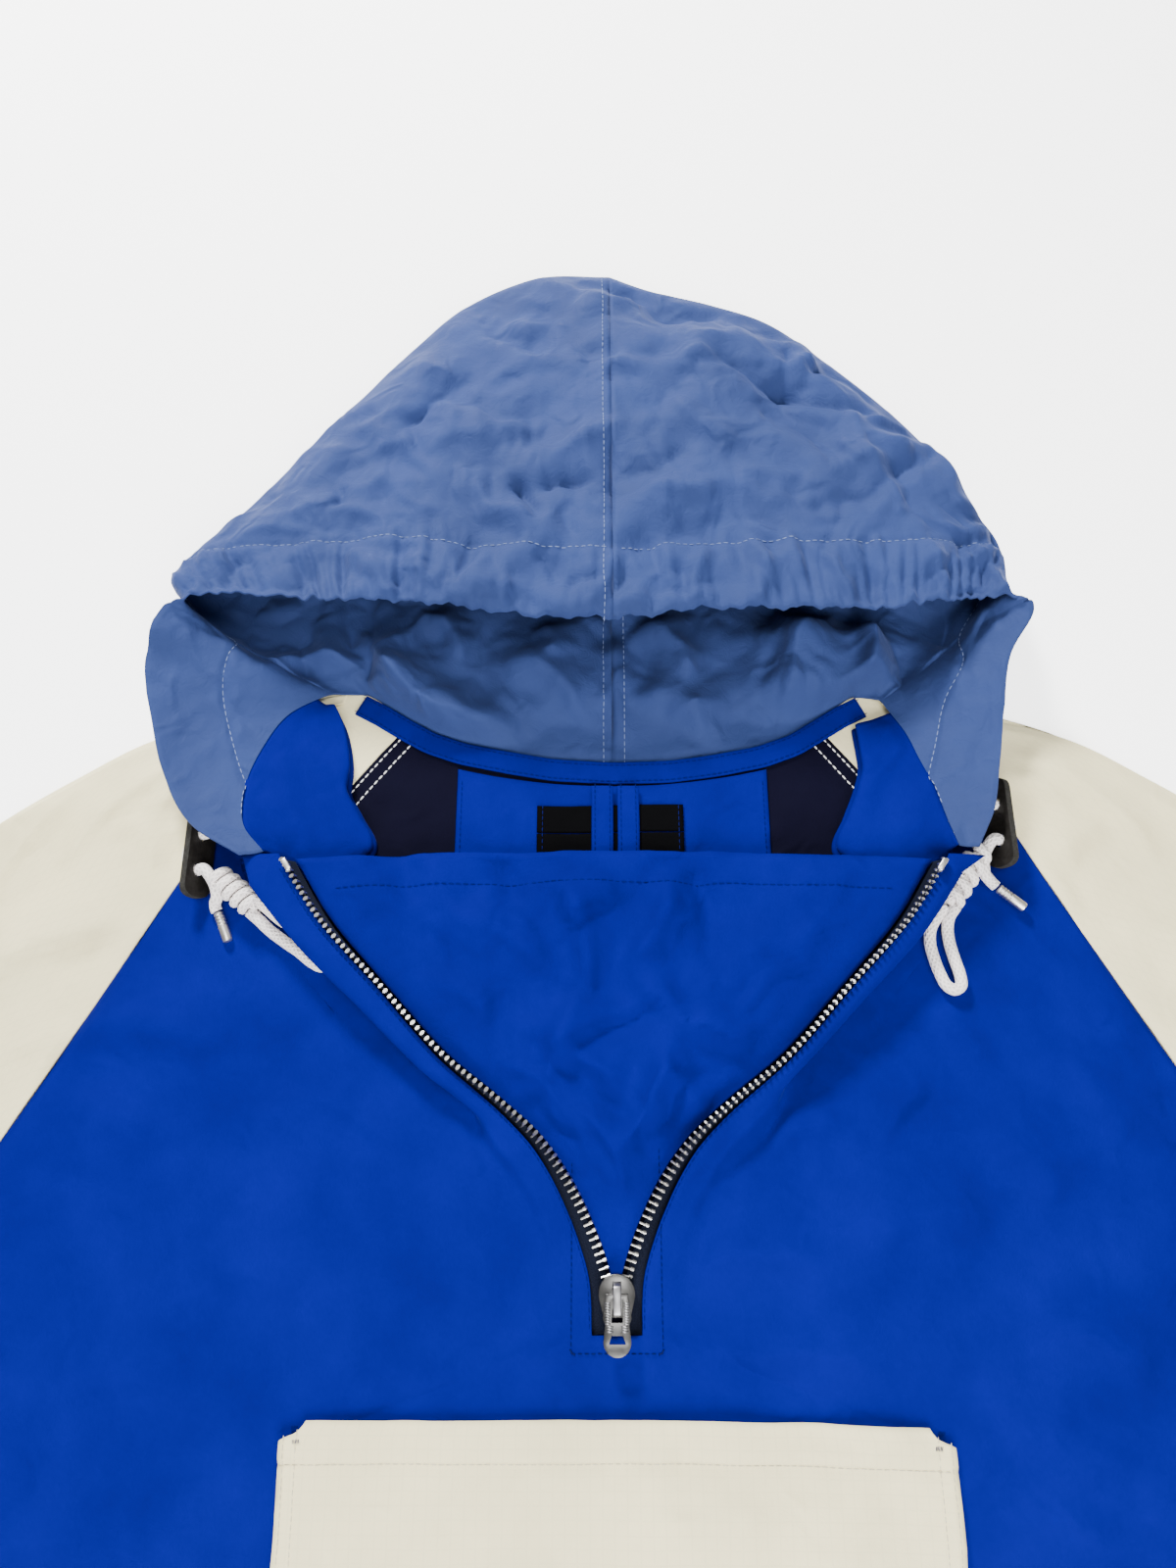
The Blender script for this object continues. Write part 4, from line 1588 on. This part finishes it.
class ANORAK_OT_neck(bpy.types.Operator):
    """Make the neck tape, facing, bare labels and hanging loop inside the back neck"""
    bl_idname = "anorak.neck"
    bl_label = "Neck trims"

    def execute(self, context):
        share = np.linspace(-0.995, 0.995, 110)
        rows = []
        for inset in (0.3, 1.2, 3, 5, 7, 9, 11, 11.6):
            p = neck_curve(share, inset)
            z = back_height(p[:, 0], p[:, 1]) + 1.55 + 0.25 * math.sin(math.pi * min(1, inset / 11.6))
            rows.append(np.column_stack([p, z]))
        cloth_piece("neck_tape_cloth", [np.array(rows)], finish("cobalt"), ("neck_tape",),
                    wall=0.0008)
        lines = [row_on_back(neck_curve(share, inset), 2.2) for inset in (1.9, 10.2)]
        half, bottom = 76, 92
        s, t = np.meshgrid(np.linspace(-1, 1, 64), np.linspace(0, 1, 44))
        top = 203 - 12.7 + 9 * s * s
        x, y = half * s, mix(top, bottom, t)
        z = back_height(x, y) + 1.45 + 0.2 * crumple(x, y, 97, ((30, 1.0), (14, 0.5)))
        cloth_piece("facing_cloth", [np.stack([x, y, z], axis=-1)], finish("cobalt"), ("back_facing",),
                    wall=0.0008)
        for x0 in (-half + 2.2, half - 2.2):
            lines.append(row_on_back(np.array([(x0, y0) for y0 in np.linspace(192, 95, 60)]), 2.15))
        self.labels(lines)
        self.loop(lines)
        sew("neck_stitches", lines, "blue thread", 0.8, 0.85)
        return {"FINISHED"}

    def labels(self, lines):
        for name, high, low in (("label_upper", 180, 166.4), ("label_lower", 165.8, 151)):
            s, t = np.meshgrid(np.linspace(-1, 1, 40), np.linspace(0, 1, 12))
            x, y = 35.5 * s - 1.2, mix(high, low, t)
            y = y + 0.5 * np.sin(s * 2.2)
            z = back_height(x, y) + 2.75 + 0.3 * noise(x / 14, y / 9, 13) + 0.25 * smooth((np.abs(s) - 0.9) / 0.1)
            cloth_piece(name + "_cloth", [np.stack([x, y, z], axis=-1)], finish("label"), (name,),
                        wall=0.0006)
            for end in (-34, 32):
                lines.append(row_on_back(np.array([(end, y0) for y0 in np.linspace(high - 1, low + 1, 12)]), 3.35))

    def loop(self, lines):
        """A folded tape that hangs from the neck seam, its two legs side by side."""
        path = [(-5, 189.5), (-5, 150), (-4.6, 138), (-1, 131.5), (2.6, 131.5), (6.6, 138), (7.4, 150), (7.6, 189.5)]
        curve = spline([(a, b, 0) for a, b in path])(np.linspace(0, 1, 90))
        ahead = np.gradient(curve, axis=0)
        side = unit(np.stack([-ahead[:, 1], ahead[:, 0], ahead[:, 2] * 0], axis=1))
        rows = []
        for t in np.linspace(-1, 1, 9):
            p = curve + side * t * 5.2
            turned = smooth((144 - curve[:, 1]) / 10)
            p[:, 2] = back_height(p[:, 0], p[:, 1]) + 4.3 + 0.3 * (1 - t * t) + turned * 0.6 * (t + 1)
            rows.append(p)
        cloth_piece("loop_cloth", [np.array(rows)], finish("cobalt"), ("hanger_loop",),
                    wall=0.0008)
        lines += [row_on_back(curve + side * t, 5.05) for t in (-3.6, 3.6)]


class ANORAK_OT_stage(bpy.types.Operator):
    """Make the plain floor and the soft lights"""
    bl_idname = "anorak.stage"
    bl_label = "Stage"

    def execute(self, context):
        mesh = bpy.data.meshes.new("floor")
        r, z = 4.0, -0.0004
        mesh.from_pydata([(-r, -r, z), (r, -r, z), (r, r, z), (-r, r, z)], [], [(0, 1, 2, 3)])
        paint = Paint("pale floor")
        tone = paint.noise(paint.at("Object"), 3.0, 2.0)
        pale = paint.done({
            "Base Color": paint.shade(tone, 0.0, (0.93, 0.93, 0.93, 1.0), 1.0, (0.96, 0.96, 0.96, 1.0)),
            "Roughness": 0.95, "Emission Color": (1, 1, 1, 1), "Emission Strength": 2.2})
        new_object("floor", mesh, pale)
        self.light("key_from_the_hood", (-0.55, 1.5, 0.95), 0.3, 72)
        self.light("fill_from_the_hem", (0.2, -1.2, 1.2), 0.9, 40)
        self.light("low_at_the_hem", (0.05, -0.8, 0.34), 0.4, 8)
        self.light("top", (0.1, 0.1, 1.9), 0.6, 20)
        world = bpy.data.worlds.new("studio")
        world.use_nodes = True
        background = world.node_tree.nodes["Background"].inputs
        background["Color"].default_value = (1, 1, 1, 1)
        background["Strength"].default_value = 0.42
        context.scene.world = world
        return {"FINISHED"}

    def light(self, name, at, size, power):
        data = bpy.data.lights.new(name, "AREA")
        data.shape = "SQUARE"
        data.size = size
        data.energy = power
        lamp = bpy.data.objects.new(name, data)
        bpy.context.scene.collection.objects.link(lamp)
        lamp.location = at
        away = np.array((0.0, 0.05, 0.0)) - np.array(at)
        flat = math.hypot(away[0], away[1])
        lamp.rotation_euler = (math.atan2(flat, -away[2]), 0, math.atan2(away[1], away[0]) - math.pi / 2)


class ANORAK_PT_panel(bpy.types.Panel):
    """Settings and pieces of the anorak"""
    bl_label = "Anorak"
    bl_idname = "ANORAK_PT_panel"
    bl_space_type = "VIEW_3D"
    bl_region_type = "UI"
    bl_category = "Anorak"

    def draw(self, context):
        layout = self.layout
        for group in (context.scene.camera_settings, context.scene.cloth, context.scene.trim):
            box = layout.box()
            for key in group.__class__.__annotations__:
                box.prop(group, key)
        for operator in OPERATORS:
            layout.operator(operator.bl_idname)


GROUPS = (CameraSettings, ClothSettings, TrimSettings)
OPERATORS = (
    ANORAK_OT_camera, ANORAK_OT_cords, ANORAK_OT_back, ANORAK_OT_front, ANORAK_OT_sleeves, ANORAK_OT_hood,
    ANORAK_OT_gusset, ANORAK_OT_zip, ANORAK_OT_pocket, ANORAK_OT_neck, ANORAK_OT_stage,
)


def register():
    for item in GROUPS + OPERATORS + (ANORAK_PT_panel,):
        bpy.utils.register_class(item)
    bpy.types.Scene.camera_settings = bpy.props.PointerProperty(type=CameraSettings)
    bpy.types.Scene.cloth = bpy.props.PointerProperty(type=ClothSettings)
    bpy.types.Scene.trim = bpy.props.PointerProperty(type=TrimSettings)


def unregister():
    for name in ("camera_settings", "cloth", "trim"):
        delattr(bpy.types.Scene, name)
    for item in reversed(GROUPS + OPERATORS + (ANORAK_PT_panel,)):
        bpy.utils.unregister_class(item)


def main():
    register()
    for operator in OPERATORS:
        getattr(bpy.ops.anorak, operator.bl_idname.split(".")[1])()
    bpy.context.view_layer.update()


if __name__ == "__main__":
    main()
